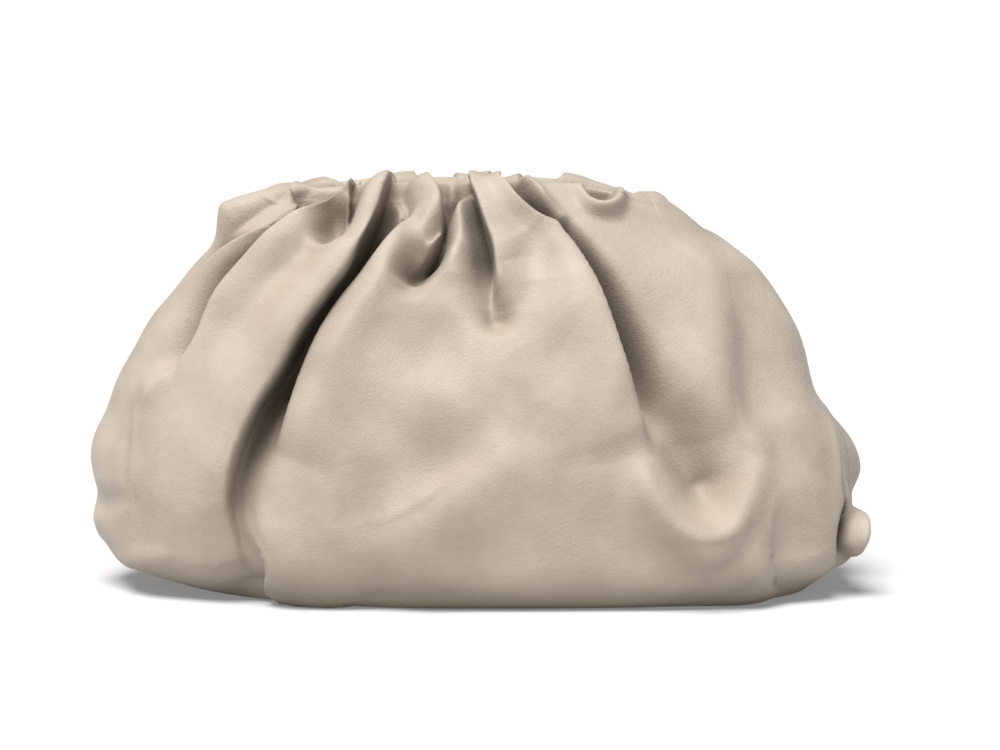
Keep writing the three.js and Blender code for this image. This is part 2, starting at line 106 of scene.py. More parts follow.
@dataclass(frozen=True)
class Fold:
    """A fold of the leather.

    The path runs downwards in steps of (across, up): across is a share of the half width as
    seen from the fold's face, or of the half depth towards the back on the two ends, and up
    runs from 0 at the foot to 1 at the rim. Rise is a share of FOLD_RISE, dip of FOLD_DIP,
    wide and reach of FOLD_SPAN, and overhang and edge are in millimetres. Their values are
    spread evenly along the path. From_rim starts the fold inside the mouth. A soft fold is
    one round swelling, or a hollow where its rise is below zero.
    """

    name: str
    path: tuple[tuple[float, float], ...]
    rise: tuple[float, ...]
    dip: tuple[float, ...] = (0.0,)
    wide: tuple[float, ...] = (1.0,)
    reach: tuple[float, ...] = (1.0,)
    raised: Raised = Raised.RIGHT
    face: Face = Face.FRONT
    edge: float = 1.3
    overhang: tuple[float, ...] = (0.0,)
    from_rim: bool = False
    soft: bool = False


FOLD_RISE = 11.0
FOLD_DIP = 16.0
FOLD_SPAN = 14.0

FRONT_FOLDS = (
    Fold("sleeve edge",
         ((-0.487, 1.0), (-0.482, 0.942), (-0.567, 0.895), (-0.626, 0.867), (-0.704, 0.82),
          (-0.79, 0.745)), rise=(0.5, 0.7, 0.8, 0.7, 0.4, 0.0), dip=(0.3, 0.9, 1.1, 1.1, 0.7, 0.0),
         wide=(0.4, 0.8, 1.2), reach=(0.5, 1.0, 1.4), overhang=(0.5, 2.0, 2.0, 0.0),
         from_rim=True),
    Fold("left edge of the left lobe",
         ((-0.327, 1.005), (-0.394, 0.958), (-0.482, 0.902), (-0.549, 0.848), (-0.619, 0.786),
          (-0.688, 0.716), (-0.747, 0.622), (-0.817, 0.552)),
         rise=(0.5, 0.8, 1.0, 1.0, 0.9, 0.8, 0.5, 0.1),
         dip=(0.3, 0.8, 1.2, 1.3, 1.3, 1.1, 0.8, 0.2), wide=(0.5, 1.2, 1.8),
         reach=(0.4, 0.7, 1.0, 1.2), overhang=(0.5, 2.5, 2.5, 1.0, 0.0), from_rim=True),
    Fold("hollow of the left cup", ((-0.355, 0.965), (-0.382, 0.92), (-0.388, 0.875)),
         rise=(-0.8, -1.7, -1.0), wide=(0.4, 0.65), soft=True),
    Fold("rim of the left cup",
         ((-0.45, 0.89), (-0.42, 0.85), (-0.388, 0.836), (-0.355, 0.85), (-0.33, 0.89)),
         rise=(0.3, 0.8, 1.0, 0.9, 0.4), wide=(0.42,), soft=True),
    Fold("cusp of the left cup", ((-0.322, 1.0), (-0.343, 0.942), (-0.356, 0.9)),
         rise=(0.6, 0.8, 0.3), dip=(0.6, 1.3, 0.8), wide=(0.6,), reach=(0.35,), raised=Raised.LEFT,
         overhang=(0.5, 1.5, 0.0), from_rim=True),
    Fold("right ridge of the left lobe",
         ((-0.255, 0.99), (-0.295, 0.925), (-0.335, 0.855), (-0.41, 0.74)),
         rise=(0.6, 1.0, 1.0, 0.3), wide=(0.4, 0.55, 0.9), soft=True, from_rim=True),
    Fold("right edge of the left lobe",
         ((-0.235, 0.995), (-0.262, 0.93), (-0.3, 0.868), (-0.343, 0.802), (-0.394, 0.748),
          (-0.464, 0.662), (-0.523, 0.569), (-0.575, 0.492), (-0.613, 0.417), (-0.642, 0.336),
          (-0.655, 0.266), (-0.647, 0.2), (-0.626, 0.103)),
         rise=(0.3, 0.5, 0.8, 1.1, 1.2, 1.2, 1.2, 1.1, 1.0, 0.8, 0.6, 0.4, 0.1),
         dip=(0.4, 0.9, 1.5, 1.9, 2.0, 1.8, 1.5, 1.2, 0.9, 0.7, 0.5, 0.3, 0.1),
         wide=(0.5, 1.2, 2.0, 2.2), reach=(0.4, 0.65, 0.85, 1.0, 1.2, 1.5), raised=Raised.LEFT,
         overhang=(0.5, 2.5, 5.0, 5.5, 5.0, 3.0, 1.0, 0.0), from_rim=True),
    Fold("strip beside the middle", ((-0.224, 0.992), (-0.206, 0.942), (-0.201, 0.9)),
         rise=(0.5, 0.6, 0.2), dip=(0.4, 0.6, 0.2), wide=(0.5,), reach=(0.4,), raised=Raised.LEFT,
         edge=2.2, overhang=(0.3, 0.5, 0.0), from_rim=True),
    Fold("left edge of the middle",
         ((-0.19, 0.915), (-0.21, 0.885), (-0.258, 0.832), (-0.317, 0.772), (-0.379, 0.702),
          (-0.43, 0.622), (-0.472, 0.552), (-0.497, 0.499), (-0.523, 0.436), (-0.55, 0.38)),
         rise=(0.4, 0.8, 1.1, 1.2, 1.2, 1.1, 0.9, 0.7, 0.4, 0.0),
         dip=(0.4, 1.1, 1.6, 1.8, 1.7, 1.4, 1.1, 0.7, 0.3, 0.0), wide=(0.6, 1.2, 1.8, 2.0),
         reach=(0.35, 0.5, 0.7, 1.0), overhang=(0.5, 3.0, 4.5, 3.5, 1.5, 0.0)),
    Fold("right edge of the first pleat",
         ((-0.129, 1.0), (-0.103, 0.958), (-0.098, 0.911), (-0.108, 0.865), (-0.142, 0.825),
          (-0.182, 0.79)), rise=(0.5, 0.8, 0.9, 0.9, 0.7, 0.2), dip=(0.3, 0.7, 1.1, 1.3, 1.3, 0.5),
         wide=(0.6, 0.9, 1.1), reach=(0.3, 0.35, 0.45), raised=Raised.LEFT,
         overhang=(0.5, 1.2, 0.6, 0.0), from_rim=True),
    Fold("left edge of the second pleat",
         ((-0.036, 0.99), (-0.05, 0.965), (-0.077, 0.925), (-0.112, 0.87), (-0.135, 0.84)),
         rise=(0.5, 0.8, 0.8, 0.6, 0.2), dip=(0.2, 0.6, 1.0, 1.0, 0.3), wide=(0.5, 0.8),
         reach=(0.3, 0.35), overhang=(0.5, 1.0, 0.0), edge=2.2, from_rim=True),
    Fold("bottom of the pocket", ((-0.155, 0.825), (-0.18, 0.79), (-0.185, 0.765)),
         rise=(-1.0, -1.3, -0.5), wide=(0.5,), soft=True),
    Fold("centre slit",
         ((-0.026, 0.984), (0.005, 0.911), (0.028, 0.855), (0.034, 0.802), (0.034, 0.716)),
         rise=(0.5, 0.8, 1.0, 0.8, 0.1), dip=(0.3, 1.0, 1.3, 1.2, 0.4), wide=(0.7, 1.8, 2.6),
         reach=(0.3, 0.5, 0.9), overhang=(0.5, 2.5, 3.0, 2.0, 0.0), from_rim=True),
    Fold("dimple under the slit", ((0.03, 0.73), (0.042, 0.69)), rise=(-0.7, -0.9), wide=(0.55,),
         soft=True),
    Fold("inner lip of the third pleat",
         ((0.05, 0.985), (0.085, 0.945), (0.13, 0.912), (0.175, 0.892), (0.2, 0.888)),
         rise=(0.6, 1.2, 1.4, 0.9, 0.1), dip=(0.3, 1.4, 1.9, 1.4, 0.2), wide=(0.45, 0.6),
         reach=(0.3,), raised=Raised.LEFT, overhang=(0.5, 2.0, 2.0, 0.5), from_rim=True, edge=1.4),
    Fold("outer lip of the third pleat", ((0.115, 0.985), (0.155, 0.945), (0.195, 0.91)),
         rise=(0.9, 1.4, 1.1), wide=(0.3,), soft=True),
    Fold("dent under the third pleat", ((0.085, 0.86), (0.12, 0.825), (0.12, 0.77)),
         rise=(-0.3, -0.6, -0.3), wide=(1.1,), soft=True),
    Fold("dent under the pocket", ((-0.2, 0.73), (-0.129, 0.64), (-0.02, 0.63)),
         rise=(-0.1, -0.4, -0.15), wide=(1.2,), soft=True),
    Fold("knuckle beside the pocket", ((-0.08, 0.845), (-0.072, 0.8)), rise=(0.45, 0.25),
         wide=(0.5,), soft=True),
    Fold("dent on the middle's right", ((0.13, 0.64), (0.18, 0.58), (0.25, 0.56)),
         rise=(-0.15, -0.4, -0.15), wide=(1.3,), soft=True),
    Fold("left edge of the right lobe",
         ((0.13, 0.94), (0.165, 0.912), (0.198, 0.879), (0.232, 0.832), (0.276, 0.762),
          (0.309, 0.692), (0.353, 0.599), (0.394, 0.515), (0.43, 0.436), (0.446, 0.382)),
         rise=(0.3, 0.6, 0.8, 1.0, 1.2, 1.3, 1.2, 0.9, 0.6, 0.2),
         dip=(0.3, 1.0, 1.4, 1.7, 1.9, 2.0, 1.9, 1.4, 0.8, 0.2), wide=(0.6, 1.4, 2.2, 2.4),
         reach=(0.35, 0.45, 0.7, 1.0, 1.5), raised=Raised.LEFT,
         overhang=(0.5, 2.0, 4.0, 4.5, 3.5, 1.5, 0.0), edge=1.8),
    Fold("right hollow", ((0.46, 0.48), (0.53, 0.39), (0.583, 0.305)), rise=(-0.8, -1.6, -1.8),
         wide=(1.2, 1.35), soft=True),
    Fold("rim of the right hollow",
         ((0.425, 0.37), (0.448, 0.29), (0.503, 0.225), (0.567, 0.19), (0.637, 0.205),
          (0.68, 0.277), (0.715, 0.37)), rise=(0.4, 0.9, 1.2, 1.35, 1.2, 0.9, 0.3), wide=(0.75,),
         soft=True),
    Fold("hole at the end of the rim", ((0.289, 0.984), (0.303, 0.968), (0.314, 0.985)),
         rise=(-2.4, -2.6, -2.0), wide=(0.3,), soft=True),
    Fold("roll at the end of the rim",
         ((0.262, 0.985), (0.285, 0.943), (0.32, 0.937), (0.345, 0.955), (0.335, 0.99)),
         rise=(0.4, 0.7, 0.8, 0.8, 0.6), wide=(0.32,), soft=True),
    Fold("turn of the right shoulder", ((0.63, 0.81), (0.655, 0.65), (0.672, 0.5), (0.69, 0.42)),
         rise=(0.1, 0.45, 0.45, 0.1), dip=(0.1, 0.5, 0.5, 0.1), wide=(2.0,), reach=(1.8,),
         raised=Raised.LEFT, edge=11.0),
    Fold("crease of the right corner", ((0.765, 0.3), (0.755, 0.2), (0.758, 0.1), (0.765, 0.01)),
         rise=(0.0, 0.35, 0.45, 0.1), dip=(0.0, 0.35, 0.4, 0.1), wide=(2.0,), reach=(1.8,),
         raised=Raised.LEFT, edge=8.0),
    Fold("groove of the right seam",
         ((0.86, 0.53), (0.9, 0.45), (0.918, 0.38), (0.93, 0.3), (0.94, 0.24)),
         rise=(0.0, 0.2, 0.2, 0.2, 0.1), dip=(0.0, 0.25, 0.25, 0.25, 0.1), wide=(0.5,),
         reach=(0.4,), raised=Raised.LEFT),
    Fold("swelling of the middle",
         ((-0.283, 0.207), (-0.2, 0.24), (-0.1, 0.3), (0.0, 0.36), (0.103, 0.464)),
         rise=(0.2, 0.5, 0.5, 0.4, 0.0), dip=(0.1, 0.35, 0.4, 0.3, 0.0), wide=(1.8,), reach=(1.8,),
         raised=Raised.LEFT, edge=10.0),
    Fold("knuckle of the middle", ((-0.215, 0.24), (-0.18, 0.262)), rise=(0.2, 0.2), wide=(1.0,),
         soft=True),
    Fold("knuckle of the left lobe", ((-0.855, 0.53), (-0.825, 0.545)), rise=(0.5, 0.4),
         wide=(0.6,), soft=True),
    Fold("foot of the valley", ((-0.64, 0.27), (-0.61, 0.19), (-0.57, 0.11), (-0.555, 0.02)),
         rise=(0.0, 0.35, 0.35, 0.0), dip=(0.2, 0.6, 0.8, 0.7), wide=(1.2, 2.0), reach=(1.0, 1.3),
         edge=7.0),
    Fold("foot of the middle", ((-0.46, 0.1), (-0.44, 0.0)), rise=(0.2, 0.35), wide=(1.8,),
         soft=True),
    Fold("arch beside the foot", ((-0.27, 0.06), (-0.26, 0.0)), rise=(-0.2, -0.5), wide=(1.0,),
         soft=True),
    Fold("seam at the left end", ((-0.9, 0.5), (-0.908, 0.4), (-0.91, 0.3), (-0.905, 0.18)),
         rise=(0.0, 0.15, 0.15, 0.0), dip=(0.0, 0.2, 0.2, 0.0), wide=(0.3,), reach=(0.3,),
         edge=1.4),
)

BACK_FOLDS = (
    Fold("outer fold on the back's left",
         ((-0.4, 0.998), (-0.52, 0.88), (-0.68, 0.7), (-0.8, 0.5)), rise=(0.5, 0.9, 0.6, 0.0),
         dip=(0.3, 1.1, 0.8, 0.0), wide=(0.6, 1.2, 1.8), reach=(0.4, 0.8, 1.2), raised=Raised.LEFT,
         face=Face.BACK, overhang=(0.5, 2.5, 1.0, 0.0), from_rim=True),
    Fold("inner fold on the back's left",
         ((-0.2, 0.998), (-0.28, 0.84), (-0.4, 0.6), (-0.46, 0.36)), rise=(0.2, 1.1, 0.9, 0.0),
         dip=(0.3, 1.4, 1.2, 0.0), wide=(0.6, 1.4, 2.2), reach=(0.4, 0.8, 1.4), raised=Raised.LEFT,
         face=Face.BACK, overhang=(0.5, 3.0, 2.0, 0.0), from_rim=True),
    Fold("small pleat of the back", ((-0.1, 0.998), (-0.12, 0.93), (-0.15, 0.86)),
         rise=(0.5, 0.7, 0.0), dip=(0.3, 0.8, 0.0), wide=(0.4, 0.6), reach=(0.3,), face=Face.BACK,
         overhang=(0.5, 1.5, 0.0), from_rim=True),
    Fold("fold of the back's middle", ((-0.02, 0.998), (-0.04, 0.86), (-0.02, 0.66)),
         rise=(0.2, 1.0, 0.0), dip=(0.3, 1.2, 0.0), wide=(0.6, 1.2), reach=(0.4, 0.7),
         face=Face.BACK, overhang=(0.5, 2.5, 0.0), from_rim=True),
    Fold("slit of the back", ((0.07, 0.998), (0.09, 0.92), (0.1, 0.82)), rise=(0.2, 0.8, 0.1),
         dip=(0.3, 0.9, 0.1), wide=(0.4, 0.7), reach=(0.3,), raised=Raised.LEFT, face=Face.BACK,
         overhang=(0.5, 2.0, 0.0), from_rim=True),
    Fold("inner fold on the back's right",
         ((0.17, 0.998), (0.25, 0.86), (0.36, 0.64), (0.42, 0.42)), rise=(0.2, 1.1, 0.9, 0.0),
         dip=(0.3, 1.4, 1.1, 0.0), wide=(0.6, 1.4, 2.2), reach=(0.4, 0.8, 1.4), face=Face.BACK,
         overhang=(0.5, 3.0, 2.0, 0.0), from_rim=True),
    Fold("outer fold on the back's right",
         ((0.38, 0.998), (0.5, 0.88), (0.66, 0.68), (0.74, 0.48)), rise=(0.2, 0.9, 0.6, 0.0),
         dip=(0.3, 1.1, 0.8, 0.0), wide=(0.6, 1.2, 1.8), reach=(0.4, 0.8, 1.2), face=Face.BACK,
         overhang=(0.5, 2.5, 1.0, 0.0), from_rim=True),
    Fold("swelling of the back", ((-0.2, 0.34), (0.0, 0.3), (0.2, 0.36)), rise=(0.1, 0.5, 0.1),
         wide=(2.2,), face=Face.BACK, soft=True),
    Fold("left shoulder, behind the sleeve", ((0.5, 0.99), (0.6, 0.95), (0.67, 0.905)),
         rise=(0.5, 0.9, 1.6), wide=(0.9, 0.7), face=Face.BACK, soft=True),
    Fold("dent below the left shoulder", ((0.76, 0.88), (0.8, 0.8)), rise=(-0.8, -0.5),
         wide=(0.8,), face=Face.BACK, soft=True),
)

END_FOLDS = (
    Fold("ear of the right seam", ((0.06, 0.4), (0.16, 0.27), (0.12, 0.2)), rise=(0.3, 0.9, 0.3),
         wide=(0.8,), face=Face.RIGHT, soft=True),
    Fold("curl of the right foot",
         ((-0.2, 0.2), (-0.42, 0.175), (-0.5, 0.125), (-0.46, 0.08), (-0.3, 0.06)),
         rise=(0.2, 1.0, 1.1, 0.6, 0.1), dip=(0.1, 0.9, 1.2, 0.4, 0.0), wide=(0.9,), reach=(0.4,),
         face=Face.RIGHT, overhang=(0.0, 2.5, 3.0, 0.5, 0.0)),
    Fold("hollow of the curl", ((-0.16, 0.16), (-0.2, 0.13), (-0.18, 0.1)),
         rise=(-0.3, -0.6, -0.3), wide=(0.32,), face=Face.RIGHT, soft=True),
    Fold("foot of the curl", ((-0.3, 0.06), (-0.1, 0.045)), rise=(0.3, 0.5), wide=(0.6,),
         face=Face.RIGHT, soft=True),
    Fold("upper knuckle of the left end", ((-0.1, 0.36), (0.0, 0.3)), rise=(0.25, 0.2),
         wide=(0.9,), face=Face.LEFT, soft=True),
    Fold("lower knuckle of the left end", ((-0.15, 0.17), (0.0, 0.13)), rise=(0.25, 0.3),
         wide=(0.7,), face=Face.LEFT, soft=True),
    Fold("upper dent of the left end", ((-0.25, 0.46), (-0.1, 0.4), (0.1, 0.38)),
         rise=(-0.1, -0.25, -0.1), wide=(0.7,), face=Face.LEFT, soft=True),
    Fold("lower dent of the left end", ((-0.5, 0.24), (-0.2, 0.21), (0.1, 0.22)),
         rise=(-0.1, -0.3, -0.15), wide=(0.4,), face=Face.LEFT, soft=True),
    Fold("crumple of the left foot", ((-0.6, 0.1), (-0.35, 0.06), (-0.1, 0.07)),
         rise=(0.1, 0.3, 0.1), wide=(0.4,), face=Face.LEFT, soft=True),
)


def ease(value: np.ndarray) -> np.ndarray:
    """A soft step from 0 to 1."""
    share = np.clip(value, 0.0, 1.0)
    return share * share * (3.0 - 2.0 * share)


def unit(vectors: np.ndarray) -> np.ndarray:
    """The vectors, each of length 1."""
    return vectors / np.maximum(np.linalg.norm(vectors, axis=-1, keepdims=True), TINY)


def monotone_slopes(stations: np.ndarray, values: np.ndarray) -> np.ndarray:
    """Slopes of a cubic curve through the values that never overshoots them.

    Args:
        stations: Where the values lie.
        values: The values, one for each station.

    Returns:
        The slope at each station.
    """
    steps = np.diff(stations)
    secants = np.diff(values) / steps
    slopes = np.zeros_like(values)
    slopes[0], slopes[-1] = secants[0], secants[-1]
    for index in range(1, len(values) - 1):
        before, after = secants[index - 1], secants[index]
        if before * after > 0.0:
            early = 2.0 * steps[index] + steps[index - 1]
            late = steps[index] + 2.0 * steps[index - 1]
            slopes[index] = (early + late) / (early / before + late / after)
    return slopes


def curve_through(points: np.ndarray, count: int) -> np.ndarray:
    """A smooth curve through points.

    Args:
        points: The points, a row each.
        count: How many points the curve gets.

    Returns:
        The curve's points, a row each.
    """
    padded = np.vstack([2 * points[0] - points[1], points, 2 * points[-1] - points[-2]])
    places = np.linspace(0.0, len(points) - 1 - TINY, count)
    index = places.astype(int)
    share = (places - index)[:, None]
    before, start, end, after = (padded[index + offset] for offset in range(4))
    return 0.5 * (
        2.0 * start
        + (end - before) * share
        + (2.0 * before - 5.0 * start + 4.0 * end - after) * share**2
        + (3.0 * start - before - 3.0 * end + after) * share**3
    )


def spread_along(values: tuple[float, ...], share: np.ndarray) -> np.ndarray:
    """The value of an evenly spread list at places of a path.

    Args:
        values: The values, from the start of the path to its end.
        share: Places along the path, from 0 to 1.

    Returns:
        The value at each place.
    """
    if len(values) == 1:
        return np.full(share.shape, values[0])
    samples = curve_through(np.array(values)[:, None], SPREAD_SAMPLES)[:, 0]
    return np.interp(share, np.linspace(0.0, 1.0, len(samples)), samples)


@dataclass
class PouchForm:
    """The full, smooth bag that the folds are laid on.

    Sizes are in millimetres, angles in radians. The ground section is the one that first
    touches the floor, and the rim section runs over the top of the frame. The view is the
    one that the paths of the folds are laid out in.
    """

    width: float = 380.0
    depth: float = 160.0
    height: float = 204.0
    rim_level: float = 0.98
    half_mouth: float = 4.0
    half_rim: float = 12.35
    lip_drop: float = 7.0
    hem_drop: float = 21.0
    view_tilt: float = math.radians(8.0)
    view_distance: float = 1600.0
    ground_section: int = 2
    rim_section: int = 11
    end_blend: float = 1.2
    drop_power: int = 3
    foot_front: float = 0.9
    probe_angle: float = 1e-3
    probe_step: float = 0.3
    halvings: int = 30
    sight_rounds: int = 20

    def __post_init__(self) -> None:
        """Lays out the sections and where each lies along the leather."""
        half_depth = self.depth / 2.0
        rim, mouth = self.half_rim / half_depth, self.half_mouth / half_depth
        lip = self.rim_level - self.lip_drop / self.height
        hem = lip - self.hem_drop / self.height
        sections = (
            Section(0.0, 0.68, 0.78, 0.0, 0.0, 2.0, 3.0),
            Section(0.0, 0.73, 0.81, 0.45, 0.45, 2.0, 3.4),
            Section(0.0, 0.79, 0.84, 0.78, 0.86, 2.0, 3.4, -0.012, -0.012),
            Section(0.022, 0.9, 0.9, 0.88, 0.935, 2.1, 3.6, -0.035, -0.035),
            Section(0.11, 0.985, 0.955, 0.96, 0.99, 2.2, 3.4, -0.02, -0.02),
            Section(0.28, 1.0, 0.935, 0.99, 1.0, 2.2, 2.9),
            Section(0.45, 0.955, 0.865, 0.93, 0.94, 2.2, 2.5),
            Section(0.62, 0.87, 0.8, 0.79, 0.81, 2.1, 2.2),
            Section(0.78, 0.74, 0.7, 0.6, 0.63, 2.0, 2.0, 0.0, 0.015),
            Section(0.89, 0.625, 0.56, 0.39, 0.42, 2.0, 2.0, 0.01, 0.03),
            Section(0.95, 0.55, 0.48, 0.26, 0.27, 2.4, 2.4, 0.02, 0.045),
            Section(self.rim_level, 0.49, 0.43, rim, rim, 3.4, 3.4, 0.025, 0.05),
            Section(lip, 0.44, 0.39, mouth, mouth, 3.0, 3.0, 0.03, 0.05),
            Section(hem, 0.43, 0.38, mouth, mouth, 3.0, 3.0, 0.03, 0.05),
        )
        climbs = np.diff([section.height for section in sections]) * self.height
        depths = np.diff([section.front for section in sections]) * half_depth
        self.stations = np.concatenate([[0.0], np.cumsum(np.hypot(climbs, depths))])
        self.columns = {
            name: np.array([getattr(section, name) for section in sections])
            for name in Section.__dataclass_fields__
        }
        self.slopes = {
            name: monotone_slopes(self.stations, column) for name, column in self.columns.items()
        }
        self.ground_at = self.stations[self.ground_section]
        self.rim_at = self.stations[self.rim_section]
        self.hem_end_at = self.stations[-1]

    def value(self, name: str, along: np.ndarray) -> np.ndarray:
        """One measure of the level section at distances along the leather.

        Args:
            name: The measure's name in Section.
            along: Distances along the leather from the bottom seam.

        Returns:
            The measure at each distance.
        """
        at = np.clip(along, 0.0, self.hem_end_at)
        index = np.searchsorted(self.stations, at, side="right") - 1
        index = np.clip(index, 0, len(self.stations) - 2)
        step = self.stations[index + 1] - self.stations[index]
        share = (at - self.stations[index]) / step
        values, slopes = self.columns[name], self.slopes[name]
        square, cube = share**2, share**3
        return (
            (2.0 * cube - 3.0 * square + 1.0) * values[index]
            + (cube - 2.0 * square + share) * step * slopes[index]
            + (3.0 * square - 2.0 * cube) * values[index + 1]
            + (cube - square) * step * slopes[index + 1]
        )

    def squareness(self, direction: np.ndarray, along: np.ndarray) -> np.ndarray:
        """Exponent of the rounded outline, for a direction of -1 left to 1 right."""
        left, right = self.value("square_left", along), self.value("square_right", along)
        return left + (right - left) * np.clip(0.5 + self.end_blend * direction, 0.0, 1.0)

    def point(self, angle: np.ndarray, along: np.ndarray, side: np.ndarray) -> np.ndarray:
        """Points of the smooth bag.

        Args:
            angle: 0 at the right seam to pi at the left one.
            along: Distance along the leather from the bottom seam.
            side: -1 for the front, 1 for the back.

        Returns:
            The points, in the last axis.
        """
        angle, along, side = np.broadcast_arrays(np.asarray(angle, float), along, side)
        cosine, sine = np.cos(angle), np.maximum(np.sin(angle), 0.0)
        power = self.squareness(cosine, along)
        radius = (np.abs(cosine) ** power + sine**power) ** (-1.0 / power)
        flatness = 1.0 - np.clip(along / self.ground_at, 0.0, 1.0)
        across = radius * cosine + flatness * (1.0 - 2.0 * angle / math.pi - radius * cosine)
        reach = np.where(across < 0.0, self.value("left", along), self.value("right", along))
        depth = np.where(side < 0, self.value("front", along), self.value("back", along))
        drop_left, drop_right = self.value("drop_left", along), self.value("drop_right", along)
        drop = np.where(across < 0.0, drop_left, drop_right) * np.abs(across) ** self.drop_power
        return np.stack(
            [
                reach * self.width / 2.0 * across,
                side * depth * self.depth / 2.0 * radius * sine,
                (self.value("height", along) - drop) * self.height,
            ],
            axis=-1,
        )

    def normal(self, angle: np.ndarray, along: np.ndarray, side: np.ndarray) -> np.ndarray:
        """Outward directions of the smooth bag, which lie in the seam plane at the seams.

        Args:
            angle: 0 at the right seam to pi at the left one.
            along: Distance along the leather from the bottom seam.
            side: -1 for the front, 1 for the back.

        Returns:
            The directions, in the last axis.
        """
        turn, shift = self.probe_angle, self.probe_step
        around = self.point(np.minimum(angle + turn, math.pi), along, side)
        around -= self.point(np.maximum(angle - turn, 0.0), along, side)
        up = self.point(angle, np.minimum(along + shift, self.hem_end_at), side)
        up -= self.point(angle, np.maximum(along - shift, 0.0), side)
        normals = np.cross(around, up) * np.asarray(side, float)[..., None]
        at_seam = (angle <= TINY) | (angle >= math.pi - TINY)
        normals[..., 1] = np.where(at_seam, 0.0, normals[..., 1])
        return unit(normals)

    def along_at_height(self, height: float) -> float:
        """How far along the leather a height lies, between the ground line and the rim.

        Args:
            height: The height above the floor.

        Returns:
            The distance along the leather from the bottom seam.
        """
        low, high = self.ground_at, self.rim_at
        for _ in range(self.halvings):
            middle = (low + high) / 2.0
            if float(self.value("height", np.array(middle))) * self.height < height:
                low = middle
            else:
                high = middle
        return (low + high) / 2.0

    def seen_height(self, y: float, z: float) -> float:
        """Height above the bag's middle at which the view shows a point.

        Args:
            y: The point's distance behind the seam plane.
            z: Its height above the floor.

        Returns:
            The height, as measured at the seam plane.
        """
        distance = self.view_distance + y * math.cos(self.view_tilt)
        climb = (z - self.height / 2.0) * math.cos(self.view_tilt) + y * math.sin(self.view_tilt)
        return climb * self.view_distance / distance

    def place_on_broad_side(
        self, across: float, up: float, mirror: int
    ) -> tuple[float, float, int]:
        """The place on the smooth bag that the view shows at a step of a fold's path.

        Args:
            across: Share of the half width.
            up: 0 at the foot to 1 at the rim.
            mirror: 1 for the front, -1 for the back.

        Returns:
            The angle, the distance along the leather and the side.
        """
        foot = self.seen_height(-self.foot_front * self.depth / 2.0, 0.0)
        top = self.seen_height(-self.half_rim, self.rim_level * self.height)
        wanted = foot + up * (top - foot)
        y, along, share, radius = -self.depth / 4.0, self.ground_at, 0.0, 1.0
        level, climb = math.cos(self.view_tilt), math.sin(self.view_tilt)
        for _ in range(self.sight_rounds):
            scale = 1.0 + y * level / self.view_distance
            z = (wanted * scale - y * climb) / level + self.height / 2.0
            x = across * mirror * self.width / 2.0 * scale
            end = "left" if x < 0.0 else "right"
            drop = float(self.value(f"drop_{end}", np.array(along)))
            drop *= abs(share) ** self.drop_power
            along = self.along_at_height(z + drop * self.height)
            reach = float(self.value(end, np.array(along))) * self.width / 2.0
            share = float(np.clip(x / reach, -NEAR_EDGE, NEAR_EDGE))
            power = float(self.squareness(np.array(share), np.array(along)))
            radius = (1.0 - abs(share) ** power) ** (1.0 / power)
            panel = "front" if mirror > 0 else "back"
            y = -float(self.value(panel, np.array(along))) * self.depth / 2.0 * radius
        return math.atan2(radius, share), along, -mirror

    def place_on_end(self, back: float, up: float, right: int) -> tuple[float, float, int]:
        """The place on a rounded end of the bag.

        Args:
            back: Share of the half depth, towards the back.
            up: Share of the bag's height.
            right: 1 for the right end, -1 for the left one.

        Returns:
            The angle, the distance along the leather and the side.
        """
        along = self.along_at_height(up * self.height)
        side = -1 if back < 0.0 else 1
        reach = float(self.value("front" if side < 0 else "back", np.array(along)))
        depth = min(abs(back) / reach, NEAR_EDGE)
        power = float(self.squareness(np.array(float(right)), np.array(along)))
        return math.atan2(depth, right * (1.0 - depth**power) ** (1.0 / power)), along, side

    def place(self, face: Face, across: float, up: float) -> tuple[float, float, int]:
        """The place on the smooth bag of a step of a fold's path.

        Args:
            face: The view that the path is laid out in.
            across: The step's first number.
            up: The step's second number.

        Returns:
            The angle, the distance along the leather and the side.
        """
        if face in (Face.FRONT, Face.BACK):
            return self.place_on_broad_side(across, up, 1 if face is Face.FRONT else -1)
        return self.place_on_end(across, up, 1 if face is Face.RIGHT else -1)


